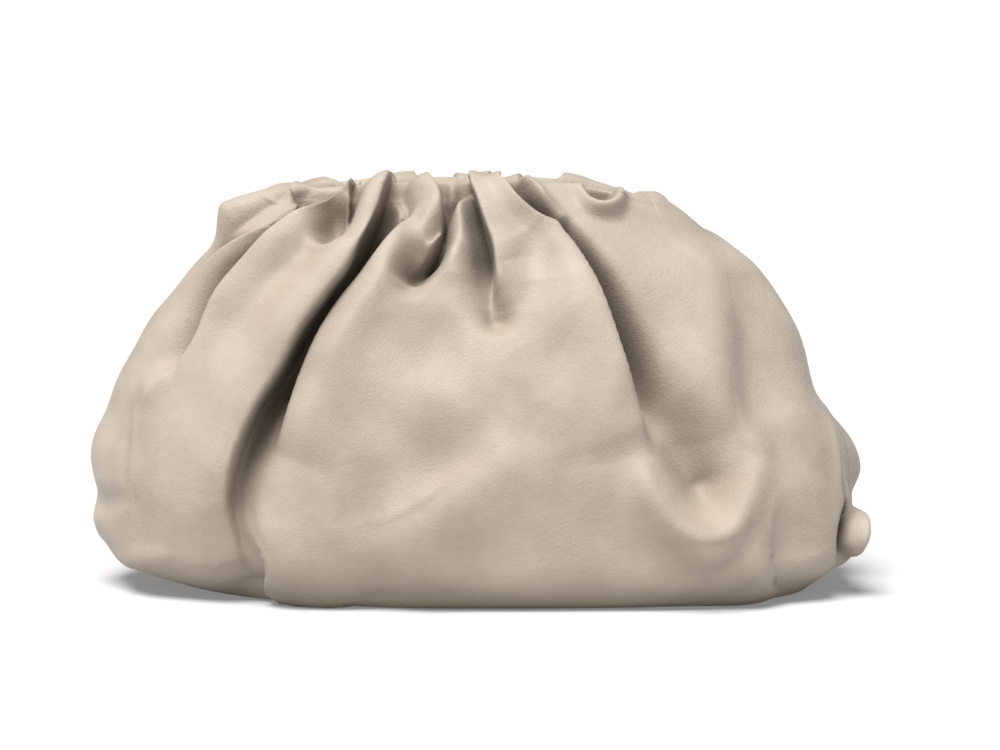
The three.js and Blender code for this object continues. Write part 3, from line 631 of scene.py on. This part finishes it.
@dataclass
class FoldLine:
    """A fold laid on the smooth bag as a line with its outward and raised directions.

    A line from the rim starts over_rim millimetres inside the mouth. Turn_start is the half
    width of the turned edge, and the inner face follows backing_shift millimetres behind the
    outer one. The margins say how far the fold is felt, and the facing numbers fade it where
    the bag turns away from it.
    """

    form: PouchForm
    fold: Fold
    steps: int = 40
    over_rim: float = 14.0
    turn_start: float = 2.6
    backing_shift: float = 6.0
    span_margin: float = 2.4
    edge_margin: float = 2.0
    facing_start: float = 0.1
    facing_span: float = 0.4

    def __post_init__(self) -> None:
        """Traces the fold's path."""
        places = [self.form.place(self.fold.face, across, up) for across, up in self.fold.path]
        if self.fold.from_rim:
            places.insert(0, (places[0][0], self.form.rim_at + self.over_rim, places[0][2]))
        angles, alongs, sides = (np.array(column) for column in zip(*places))
        self.line = curve_through(self.form.point(angles, alongs, sides), self.steps)
        self.normals = unit(curve_through(self.form.normal(angles, alongs, sides), self.steps))
        ahead = np.gradient(self.line, axis=0)
        self.raised = unit(np.cross(self.normals, ahead)) * self.fold.raised.value
        widest = max(*self.fold.wide, *self.fold.reach) * FOLD_SPAN
        self.margin = self.span_margin * widest + self.edge_margin * self.fold.edge

    def nearest(self, points: np.ndarray) -> tuple[np.ndarray, np.ndarray, np.ndarray]:
        """The nearest spots of the line.

        Args:
            points: Points, a row each.

        Returns:
            For each point the segment, the share of that segment and the distance.
        """
        best = np.full(len(points), np.inf)
        segment = np.zeros(len(points), int)
        share = np.zeros(len(points))
        for index in range(self.steps - 1):
            start, step = self.line[index], self.line[index + 1] - self.line[index]
            at = np.clip((points - start) @ step / max(step @ step, TINY), 0.0, 1.0)
            away = np.linalg.norm(points - start - at[:, None] * step, axis=1)
            closer = away < best
            best[closer], segment[closer], share[closer] = away[closer], index, at[closer]
        return segment, share, best

    def measure(self, points: np.ndarray, normals: np.ndarray) -> tuple[np.ndarray, ...]:
        """What the fold does at points of the smooth bag.

        Args:
            points: Points, a row each.
            normals: The smooth bag's outward directions there.

        Returns:
            Which points it reaches, and for those the lift of the outer face, the lift of
            the inner face and the sideways shift, in millimetres.
        """
        fold = self.fold
        near = np.all(points > self.line.min(axis=0) - self.margin, axis=1)
        near &= np.all(points < self.line.max(axis=0) + self.margin, axis=1)
        spots, outward = points[near], normals[near]
        segment, share, distance = self.nearest(spots)
        blend = share[:, None]
        foot = self.line[segment] * (1.0 - blend) + self.line[segment + 1] * blend
        axis = unit(self.normals[segment] * (1.0 - blend) + self.normals[segment + 1] * blend)
        raised = unit(self.raised[segment] * (1.0 - blend) + self.raised[segment + 1] * blend)
        offset = spots - foot
        at_end = (segment == 0) & (share <= 0.0)
        at_end |= (segment == self.steps - 2) & (share >= 1.0)
        ahead = unit(np.cross(raised, axis))
        beyond = np.where(at_end, np.abs(np.sum(offset * ahead, axis=1)), 0.0)
        aside = np.sqrt(np.maximum(distance**2 - beyond**2, 0.0))
        signed = np.where(np.sum(offset * raised, axis=1) < 0.0, -aside, aside)
        place = (segment + share) / (self.steps - 1)
        wide = spread_along(fold.wide, place) * FOLD_SPAN
        reach = spread_along(fold.reach, place) * FOLD_SPAN
        rise = spread_along(fold.rise, place) * FOLD_RISE
        facing = (np.sum(outward * axis, axis=1) + self.facing_start) / self.facing_span
        facing = np.clip(facing, 0.0, 1.0)
        if fold.soft:
            lift = rise * np.exp(-((distance / wide) ** 2)) * facing
            return near, lift, lift, np.zeros_like(spots)
        dip = spread_along(fold.dip, place) * FOLD_DIP
        ending = np.exp(-((beyond / np.minimum(wide, reach)) ** 2)) * facing
        high = rise * np.exp(-((distance / wide) ** 2)) * facing
        low = dip * np.exp(-((distance / reach) ** 2)) * facing
        outer = 0.5 * (1.0 + np.tanh(signed / fold.edge))
        inner = 0.5 * (1.0 + np.tanh((signed - self.backing_shift) / self.turn_start))
        # The shift is greatest, and 1 times the overhang, one turn_start beside the line.
        turn = signed / self.turn_start
        bend = turn * np.exp(0.5 * (1.0 - turn**2))
        shift = -spread_along(fold.overhang, place) * bend * ending
        return (
            near,
            outer * high - (1.0 - outer) * low,
            inner * high - (1.0 - inner) * low,
            raised * shift[:, None],
        )


@dataclass
class FoldedLeather:
    """All folds together, laid on the smooth bag. Sizes in millimetres.

    Sharing is the power that crossing folds are summed with. Near the rim the leather gives
    no more than rim_give towards the frame, which reaches frame_reach from the seam plane.
    The rim_hold numbers say where that hold starts, how soft it is and how far it flattens
    the top of the rim, and the fades end all folds at the mouth, ground and seams. The waves
    are the slight undulation of the whole leather, and reach_of_backing is how many spots
    around it the inner face keeps clear of.
    """

    form: PouchForm
    folds: tuple[Fold, ...]
    sharing: float = 2.5
    rim_give: float = 1.2
    frame_reach: float = 13.5
    rim_hold_start: float = 44.0
    rim_hold_length: float = 14.0
    rim_hold_front: float = 0.4
    rim_hold_back: float = 0.8
    mouth_fade: float = 9.0
    ground_fade: float = 7.0
    seam_hold: float = 14.0
    waves: int = 9
    wave_turn: float = 2.4
    shortest_wave: float = 34.0
    wave_growth: float = 7.0
    wave_lift: float = 0.3
    reach_of_backing: int = 2
    rim_softness: float = 2.0
    overhang_end: float = 6.0
    overhang_fade: float = 8.0
    ground_clear: float = 2.0
    ground_ease: float = 12.0
    lines: list[FoldLine] = field(default_factory=list)

    def __post_init__(self) -> None:
        """Lays every fold on the bag."""
        self.lines = [FoldLine(self.form, fold) for fold in self.folds]

    def undulation(self, points: np.ndarray) -> np.ndarray:
        """The slight waviness that handling leaves in soft leather.

        Args:
            points: Points of the smooth bag, a row each.

        Returns:
            The lift at each point, in millimetres.
        """
        lift = np.zeros(len(points))
        for wave in range(self.waves):
            turn, climb = wave * self.wave_turn, 1.0 - (2.0 * wave + 1.0) / self.waves
            flat = math.sqrt(1.0 - climb**2)
            heading = np.array([flat * math.cos(turn), flat * math.sin(turn), climb])
            length = self.shortest_wave + wave * self.wave_growth
            lift += np.sin(points @ heading * (2.0 * math.pi / length) + turn)
        return lift * self.wave_lift

    def settle(
        self,
        up: np.ndarray,
        down: np.ndarray,
        points: np.ndarray,
        normals: np.ndarray,
        along: np.ndarray,
    ) -> np.ndarray:
        """The lift that is left once frame, seams and ground hold the leather.

        Args:
            up: Summed powers of the rises.
            down: Summed powers of the dips.
            points: Points of the smooth bag, a row each.
            normals: Its outward directions there.
            along: Distances along the leather.

        Returns:
            The lift at each point, in millimetres.
        """
        from_seam = ease(np.abs(points[:, 1]) / self.seam_hold)
        free = up ** (1.0 / self.sharing) - down ** (1.0 / self.sharing) * from_seam
        give = self.rim_give + np.maximum(np.abs(points[:, 1]) - self.frame_reach, 0.0)
        outside = 0.5 * (free - give + np.hypot(free + give, self.rim_softness))
        outside = outside + 0.5 * (give - np.hypot(give, self.rim_softness))
        hold = ease((along - self.form.rim_at + self.rim_hold_start) / self.rim_hold_length)
        in_mouth = np.clip((along - self.form.rim_at) / self.mouth_fade, 0.0, 1.0)
        raised = ease(points[:, 2] / self.ground_fade)
        off_ground = np.where(along > self.form.ground_at, raised, 0.0)
        off_ground = np.where(free > 0.0, ease(along / self.form.ground_at), off_ground)
        held = np.where(points[:, 1] > 0.0, self.rim_hold_back, self.rim_hold_front)
        over_rim = 1.0 - held * np.clip(normals[:, 2], 0.0, 1.0) ** 2 * hold
        return (free + (outside - free) * hold) * over_rim * (1.0 - in_mouth) * off_ground

    def lowest_around(self, lift: np.ndarray) -> np.ndarray:
        """The lowest lift among each spot's neighbours, so that the inner face stays inside.

        Args:
            lift: Lifts on the grid of the outer face.

        Returns:
            The lowest lifts, on the same grid.
        """
        lowest = lift.copy()
        padded = np.pad(lift, self.reach_of_backing, mode="edge")
        columns, rows = lift.shape
        for across in range(2 * self.reach_of_backing + 1):
            for up in range(2 * self.reach_of_backing + 1):
                lowest = np.minimum(lowest, padded[across:across + columns, up:up + rows])
        return lowest

    def faces(
        self, angles: np.ndarray, alongs: np.ndarray, side: Side, wall: float
    ) -> tuple[np.ndarray, np.ndarray]:
        """The outer and inner faces of a panel.

        Args:
            angles: The columns' angles.
            alongs: The rows' distances along the leather.
            side: The panel's side.
            wall: The leather's thickness in millimetres.

        Returns:
            Two grids of points, column by row.
        """
        angle, along = np.meshgrid(angles, alongs, indexing="ij")
        points = self.form.point(angle, along, np.full(angle.shape, side.value))
        normals = self.form.normal(angle, along, np.full(angle.shape, side.value))
        grid = points.shape
        points, normals, along = points.reshape(-1, 3), normals.reshape(-1, 3), along.ravel()
        count = len(points)
        lifts = {name: (np.zeros(count), np.zeros(count)) for name in ("outer", "inner")}
        shift = np.zeros((count, 3))
        for line in self.lines:
            near, outer, inner, sideways = line.measure(points, normals)
            shift[near] += sideways
            for name, lift in (("outer", outer), ("inner", inner)):
                up, down = lifts[name]
                up[near] += np.maximum(lift, 0.0) ** self.sharing
                down[near] += np.maximum(-lift, 0.0) ** self.sharing
        over_end = (along - self.form.rim_at + self.overhang_end) / self.overhang_fade
        clear = ease((points[:, 2] - self.ground_clear) / self.ground_ease)
        free = 1.0 - np.clip(over_end, 0.0, 1.0)
        free *= clear * ease(np.abs(points[:, 1]) / self.seam_hold)
        waviness = self.undulation(points) * clear
        waviness *= ease((self.form.rim_at - along) / self.rim_hold_length)
        outer_lift = self.settle(*lifts["outer"], points, normals, along) + waviness
        inner_lift = self.settle(*lifts["inner"], points, normals, along) + waviness
        backing = self.lowest_around(np.minimum(inner_lift, outer_lift).reshape(grid[:2])).ravel()
        outer_face = points + normals * outer_lift[:, None] + shift * free[:, None]
        inner_face = points + normals * (backing - wall)[:, None]
        outer_face[:, 2] = np.maximum(outer_face[:, 2], 0.0)
        inner_face[:, 2] = np.maximum(inner_face[:, 2], wall)
        return outer_face.reshape(grid), inner_face.reshape(grid)


def linear(hex_colour: str) -> tuple[float, float, float, float]:
    """An sRGB colour as the linear RGBA that a socket holds.

    Args:
        hex_colour: The colour as "#RRGGBB".

    Returns:
        Red, green, blue and an alpha of 1.
    """
    values = [int(hex_colour[index:index + 2], 16) / 255.0 for index in (1, 3, 5)]
    turned = [
        value / 12.92 if value <= 0.04045 else ((value + 0.055) / 1.055) ** 2.4
        for value in values
    ]
    return (*turned, 1.0)


def add_node(
    material: bpy.types.Material, kind: str, settings: dict, links: dict
) -> bpy.types.Node:
    """Adds a node with its settings and links.

    Args:
        material: The material that gets the node.
        kind: The node's type.
        settings: Properties by name, and socket values by the socket's name.
        links: Output sockets, by the name of the input that each feeds.

    Returns:
        The new node.
    """
    node = material.node_tree.nodes.new(kind)
    for name, value in settings.items():
        if name in node.inputs:
            node.inputs[name].default_value = value
        else:
            setattr(node, name, value)
    for name, output in links.items():
        material.node_tree.links.new(output, node.inputs[name])
    return node


@dataclass(frozen=True)
class Finish:
    """What every finish starts from."""

    name: str

    def start(self, sockets: dict) -> tuple[bpy.types.Material, bpy.types.Node]:
        """Makes the material with its plain shader.

        Args:
            sockets: Values of the shader's sockets, by name.

        Returns:
            The material and its shader.
        """
        material = bpy.data.materials.new(self.name)
        material.use_nodes = True
        shader = material.node_tree.nodes["Principled BSDF"]
        for socket, value in sockets.items():
            shader.inputs[socket].default_value = value
        return material, shader


@dataclass(frozen=True)
class NappaLambskin(Finish):
    """Soft aniline-dyed lambskin with a smooth, barely pebbled grain.

    It scatters light softly, with a weak broad gloss. Its colour clouds a little where the
    skin took the dye unevenly, and shade is painted into its colour in the folds, darker where
    ambient occlusion finds them deep. Lambskin's grain is typically half a millimetre across,
    and is drawn about twice as coarse to show.
    """

    name: str = "nappa_lambskin"
    pale: str = "#BDB1A2"
    deep: str = "#AC9F90"
    # Painted shade in the folds: its colour, how far the occlusion looks, and the occlusion levels
    # where it is full and where it ends.
    painted_fold_shade: str = "#74685A"
    painted_shade_reach_mm: float = 30.0
    painted_shade_full_at: float = 0.15
    painted_shade_none_at: float = 0.9
    cloud_mm: float = 30.0
    cloud_ends: tuple[float, float] = (0.3, 0.7)
    grain_mm: float = 1.1
    grain_depth_mm: float = 0.5
    grain_strength: float = 0.3
    crease_mm: float = 5.0
    crease_depth_mm: float = 1.0
    crease_strength: float = 0.22
    roughness: float = 0.58
    gloss: float = 0.35
    sheen: float = 0.12

    def build(self) -> bpy.types.Material:
        """Makes the material.

        Returns:
            The material.
        """
        material, shader = self.start({
            "Roughness": self.roughness, "IOR": 1.45, "Specular IOR Level": self.gloss,
            "Sheen Weight": self.sheen, "Sheen Roughness": 0.5,
        })
        place = add_node(material, "ShaderNodeTexCoord", {}, {}).outputs["Object"]
        cloud = add_node(
            material, "ShaderNodeTexNoise",
            {"Scale": METRE / self.cloud_mm, "Detail": 3.0, "Roughness": 0.55},
            {"Vector": place})
        dye = add_node(material, "ShaderNodeValToRGB", {}, {"Fac": cloud.outputs["Fac"]})
        for stop, position, colour in zip(
            dye.color_ramp.elements, self.cloud_ends, (self.deep, self.pale)
        ):
            stop.position, stop.color = position, linear(colour)
        grain = add_node(
            material, "ShaderNodeTexVoronoi",
            {"feature": "SMOOTH_F1", "Scale": METRE / self.grain_mm, "Smoothness": 0.6},
            {"Vector": place})
        crease = add_node(
            material, "ShaderNodeTexNoise",
            {"Scale": METRE / self.crease_mm, "Detail": 4.0, "Roughness": 0.6},
            {"Vector": place})
        pebble = add_node(
            material, "ShaderNodeBump",
            {"Strength": self.grain_strength, "Distance": self.grain_depth_mm / METRE},
            {"Height": grain.outputs["Distance"]})
        relief = add_node(
            material, "ShaderNodeBump",
            {"Strength": self.crease_strength, "Distance": self.crease_depth_mm / METRE},
            {"Height": crease.outputs["Fac"], "Normal": pebble.outputs["Normal"]})
        # Painted shade: ambient occlusion finds the folds, where shade falls, so that their colour
        # can be darkened.
        depth = add_node(
            material, "ShaderNodeAmbientOcclusion",
            {"samples": 4, "Distance": self.painted_shade_reach_mm / METRE}, {})
        open_to_light = add_node(
            material, "ShaderNodeMapRange",
            {"From Min": self.painted_shade_full_at, "From Max": self.painted_shade_none_at},
            {"Value": depth.outputs["AO"]})
        # This mix paints the shade: the full painted_fold_shade where the folds are deepest, the
        # leather's own clouded colour in the open.
        shade = add_node(
            material, "ShaderNodeMix", {"data_type": "RGBA"},
            {"Factor": open_to_light.outputs["Result"]})
        # The colour sockets of this node share their names with others, so they go by number.
        shade.inputs[6].default_value = linear(self.painted_fold_shade)
        links = material.node_tree.links
        links.new(dye.outputs["Color"], shade.inputs[7])
        links.new(shade.outputs[2], shader.inputs["Base Color"])
        links.new(relief.outputs["Normal"], shader.inputs["Normal"])
        return material


@dataclass(frozen=True)
class SuedeBacking(Finish):
    """The flesh side of the same skin, sueded: dull, slightly darker and fuzzy.

    The real nap is finer, and is drawn 1.5 mm coarse to show in the mouth.
    """

    name: str = "suede_backing"
    pale: str = "#B5A795"
    deep: str = "#A39583"
    nap_mm: float = 1.5
    nap_depth_mm: float = 0.5
    nap_strength: float = 0.3

    def build(self) -> bpy.types.Material:
        """Makes the material.

        Returns:
            The material.
        """
        material, shader = self.start({"Roughness": 0.95, "Sheen Weight": 0.3})
        place = add_node(material, "ShaderNodeTexCoord", {}, {}).outputs["Object"]
        nap = add_node(
            material, "ShaderNodeTexNoise",
            {"Scale": METRE / self.nap_mm, "Detail": 4.0, "Roughness": 0.7}, {"Vector": place})
        tone = add_node(material, "ShaderNodeValToRGB", {}, {"Fac": nap.outputs["Fac"]})
        for stop, colour in zip(tone.color_ramp.elements, (self.deep, self.pale)):
            stop.color = linear(colour)
        fuzz = add_node(
            material, "ShaderNodeBump",
            {"Strength": self.nap_strength, "Distance": self.nap_depth_mm / METRE},
            {"Height": nap.outputs["Fac"]})
        material.node_tree.links.new(tone.outputs["Color"], shader.inputs["Base Color"])
        material.node_tree.links.new(fuzz.outputs["Normal"], shader.inputs["Normal"])
        return material


@dataclass(frozen=True)
class BrushedSteel(Finish):
    """Spring steel strip, brushed lengthwise: fine streaks that stretch its highlights."""

    name: str = "brushed_spring_steel"
    colour: str = "#A9ABAD"
    streak_mm: float = 0.8
    streak_stretch: float = 0.05
    streak_depth_mm: float = 0.2
    streak_strength: float = 0.2
    roughness: float = 0.34

    def build(self) -> bpy.types.Material:
        """Makes the material.

        Returns:
            The material.
        """
        material, shader = self.start({
            "Base Color": linear(self.colour), "Metallic": 1.0, "Roughness": self.roughness,
        })
        place = add_node(material, "ShaderNodeTexCoord", {}, {}).outputs["Object"]
        stretch = add_node(
            material, "ShaderNodeMapping", {"Scale": (self.streak_stretch, 1.0, 1.0)},
            {"Vector": place})
        streaks = add_node(
            material, "ShaderNodeTexNoise", {"Scale": METRE / self.streak_mm, "Detail": 2.0},
            {"Vector": stretch.outputs["Vector"]})
        brushing = add_node(
            material, "ShaderNodeBump",
            {"Strength": self.streak_strength, "Distance": self.streak_depth_mm / METRE},
            {"Height": streaks.outputs["Fac"]})
        material.node_tree.links.new(brushing.outputs["Normal"], shader.inputs["Normal"])
        return material


@dataclass(frozen=True)
class StudioPaper(Finish):
    """Matt white background paper on a table that is lit faintly from below."""

    name: str = "white_paper"
    colour: str = "#C8C8C8"
    glow: float = 0.2

    def build(self) -> bpy.types.Material:
        """Makes the material.

        Returns:
            The material.
        """
        return self.start({
            "Base Color": linear(self.colour), "Roughness": 1.0, "Specular IOR Level": 0.0,
            "Emission Color": WHITE, "Emission Strength": self.glow,
        })[0]


@dataclass
class Pouch:
    """The two leather panels. Sizes in millimetres.

    Columns run up the leather, closer together at the ends by end_crowding, and rows run
    along it, closer towards the rim by rim_crowding. The shift centres the bag on the
    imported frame.
    """

    form: PouchForm
    columns: int = 384
    floor_rows: int = 8
    side_rows: int = 172
    mouth_rows: int = 20
    wall: float = 1.6
    seam_gap: float = 0.3
    end_crowding: float = 0.28
    rim_crowding: float = 1.3
    centre_shift: np.ndarray = field(default_factory=lambda: np.zeros(2))

    def angles(self) -> np.ndarray:
        """The columns' angles, from the left seam to the right one."""
        share, turn = np.linspace(0.0, 1.0, self.columns + 1), 2.0 * math.pi
        return math.pi * (1.0 - share - self.end_crowding * np.sin(turn * share) / turn)

    def rows(self) -> np.ndarray:
        """The rows' distances along the leather.

        Returns:
            The distances, from the bottom seam to the end of the hem.
        """
        form = self.form
        floor = np.linspace(0.0, form.ground_at, self.floor_rows + 1)
        share = 1.0 - (1.0 - np.linspace(0.0, 1.0, self.side_rows + 1)[1:]) ** self.rim_crowding
        sides = form.ground_at + (form.rim_at - form.ground_at) * share
        mouth = np.linspace(form.rim_at, form.hem_end_at, self.mouth_rows + 1)[1:]
        return np.concatenate([floor, sides, mouth])

    def grid_faces(self, first: int, columns: int, rows: int, flip: bool) -> np.ndarray:
        """Quads of a grid whose vertices are numbered row by row within each column.

        Args:
            first: The number of the grid's first vertex.
            columns: How many columns it has.
            rows: How many rows it has.
            flip: Whether the quads face the other way.

        Returns:
            The quads, a row of four vertices each.
        """
        index = first + np.arange(columns * rows).reshape(columns, rows)
        corners = [index[:-1, :-1], index[1:, :-1], index[1:, 1:], index[:-1, 1:]]
        quads = np.stack(corners, axis=-1).reshape(-1, 4)
        return quads[:, ::-1] if flip else quads

    def edge_strip(
        self, outer: np.ndarray, inner: np.ndarray, flip: bool
    ) -> list[tuple[int, int, int]]:
        """Triangles that close the gap between an edge of the outer face and of the inner.

        Args:
            outer: The outer edge's vertices.
            inner: The inner edge's vertices, with half as many steps.
            flip: Whether the triangles face the other way.

        Returns:
            The triangles.
        """
        strip = []
        for index in range(len(inner) - 1):
            start, middle, end = outer[2 * index], outer[2 * index + 1], outer[2 * index + 2]
            near, far = inner[index], inner[index + 1]
            strip += [(start, near, middle), (middle, near, far), (middle, far, end)]
        return [triangle[::-1] for triangle in strip] if flip else strip

    def build_panel(self, name: str, side: Side, leather: FoldedLeather) -> bpy.types.Object:
        """One hollow panel.

        Args:
            name: The piece's name.
            side: The panel's side.
            leather: The folded leather that gives its faces.

        Returns:
            The new piece.
        """
        angles, rows = self.angles(), self.rows()
        outer, inner = leather.faces(angles, rows, side, self.wall)
        inner = inner[::2, ::2]
        seam = side.value * self.seam_gap / 2.0
        for face in (outer, inner):
            face[..., 1] = side.value * np.maximum(side.value * face[..., 1], 0.0) + seam
        columns, count = outer.shape[:2]
        inner_columns, inner_count = inner.shape[:2]
        flip = side is Side.BACK
        faces = self.grid_faces(0, columns, count, flip).tolist()
        first = columns * count
        backing = self.grid_faces(first, inner_columns, inner_count, not flip).tolist()
        outside = np.arange(first).reshape(columns, count)
        inside = first + np.arange(inner_columns * inner_count)
        inside = inside.reshape(inner_columns, inner_count)
        edges = self.edge_strip(outside[:, 0], inside[:, 0], flip)
        edges += self.edge_strip(outside[:, -1], inside[:, -1], not flip)
        edges += self.edge_strip(outside[0], inside[0], not flip)
        edges += self.edge_strip(outside[-1], inside[-1], flip)
        points = np.concatenate([outer.reshape(-1, 3), inner.reshape(-1, 3)])
        points[:, :2] += self.centre_shift
        mesh = bpy.data.meshes.new(name)
        mesh.from_pydata((points / METRE).tolist(), [], faces + edges + backing)
        mesh.polygons.foreach_set("use_smooth", [True] * len(mesh.polygons))
        slots = [0] * (len(faces) + len(edges)) + [1] * len(backing)
        mesh.polygons.foreach_set("material_index", slots)
        mesh.update()
        piece = bpy.data.objects.new(name, mesh)
        bpy.context.scene.collection.objects.link(piece)
        return piece

    def build(self) -> None:
        """Builds both panels centred on the frame, dresses them, attaches them to the root body
        and hides the imported panels.
        """
        low, high = (Vector(corner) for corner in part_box("mouth_frame"))
        right, left = (self.form.point(angle, self.form.rim_at, 1)[0] for angle in (0.0, math.pi))
        across = (low.x + high.x) / 2.0 * METRE - (right + left) / 2.0
        self.centre_shift = np.array([across, (low.y + high.y) / 2.0 * METRE])
        leather = FoldedLeather(self.form, FRONT_FOLDS + BACK_FOLDS + END_FOLDS)
        skin, backing = NappaLambskin().build(), SuedeBacking().build()
        for side, node, slot in (
            (Side.FRONT, "front_panel", "front_leather"),
            (Side.BACK, "back_panel", "back_leather"),
        ):
            piece = self.build_panel(f"{side.name.lower()}_leather", side, leather)
            piece.data.materials.append(skin)
            piece.data.materials.append(backing)
            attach(piece, "root")
            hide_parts(node)
            LOG.info("%s: %d faces", piece.name, len(piece.data.polygons))


@dataclass
class HiddenFrame:
    """The steel frame in the rolled rim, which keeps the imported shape."""

    node: str = "mouth_frame"

    def dress(self) -> None:
        """Gives the frame its steel."""
        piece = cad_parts[self.node]
        piece.data.materials.clear()
        piece.data.materials.append(BrushedSteel().build())
        LOG.info("%s: dressed", piece.name)


@dataclass
class Studio:
    """White paper under the bag, a soft key light and the camera. Sizes in metres.

    The key is a sun with a wide disc, so that it lights the whole floor evenly and its
    shadows are soft. The frame width is what the camera sees across at the target.
    """

    floor_half: float = 20.0
    room_light: float = 0.08
    key_strength: float = 4.9
    key_spread: float = math.radians(36.0)
    key_from: Vector = field(default_factory=lambda: Vector((-0.25, -0.5, 1.3)))
    camera_distance: float = 1.6
    camera_tilt: float = math.radians(8.0)
    frame_width: float = 0.49
    sensor: float = 36.0
    nearest: float = 0.05
    target: Vector = field(default_factory=lambda: Vector((0.0098, 0.0, 0.1034)))

    def build_floor(self) -> None:
        """Lays the paper that the bag stands on."""
        half = self.floor_half
        corners = [(-half, -half, 0), (half, -half, 0), (half, half, 0), (-half, half, 0)]
        mesh = bpy.data.meshes.new("paper_floor")
        mesh.from_pydata(corners, [], [(0, 1, 2, 3)])
        mesh.materials.append(StudioPaper().build())
        floor = bpy.data.objects.new("paper_floor", mesh)
        bpy.context.scene.collection.objects.link(floor)

    def build_lights(self) -> None:
        """Sets the dim surroundings and the large soft key, the same all over the floor."""
        world = bpy.data.worlds.new("studio")
        world.use_nodes = True
        backdrop = world.node_tree.nodes["Background"]
        backdrop.inputs["Color"].default_value = WHITE
        backdrop.inputs["Strength"].default_value = self.room_light
        bpy.context.scene.world = world
        light = bpy.data.lights.new("key", "SUN")
        light.energy, light.angle = self.key_strength, self.key_spread
        key = bpy.data.objects.new("key", light)
        key.rotation_euler = (-self.key_from).to_track_quat("-Z", "Y").to_euler()
        bpy.context.scene.collection.objects.link(key)
        bpy.context.scene.view_settings.view_transform = "Standard"

    def build_camera(self) -> None:
        """Sets the camera at the photograph's angle."""
        camera = bpy.data.cameras.new("camera")
        camera.sensor_width = self.sensor
        camera.lens = self.sensor * self.camera_distance / self.frame_width
        camera.clip_start = self.nearest
        stand = bpy.data.objects.new("camera", camera)
        away = Vector((0.0, -math.cos(self.camera_tilt), math.sin(self.camera_tilt)))
        stand.location = self.target + away * self.camera_distance
        stand.rotation_euler = (-away).to_track_quat("-Z", "Y").to_euler()
        bpy.context.scene.collection.objects.link(stand)
        bpy.context.scene.camera = stand

    def build(self) -> None:
        """Builds floor, light and camera."""
        self.build_floor()
        self.build_lights()
        self.build_camera()
        LOG.info("studio: built")


def main() -> None:
    """Builds the bag and its studio in order."""
    logging.basicConfig(level=logging.INFO, format="%(message)s")
    Studio().build()
    Pouch(PouchForm()).build()
    HiddenFrame().dress()


if __name__ == "__main__":
    main()
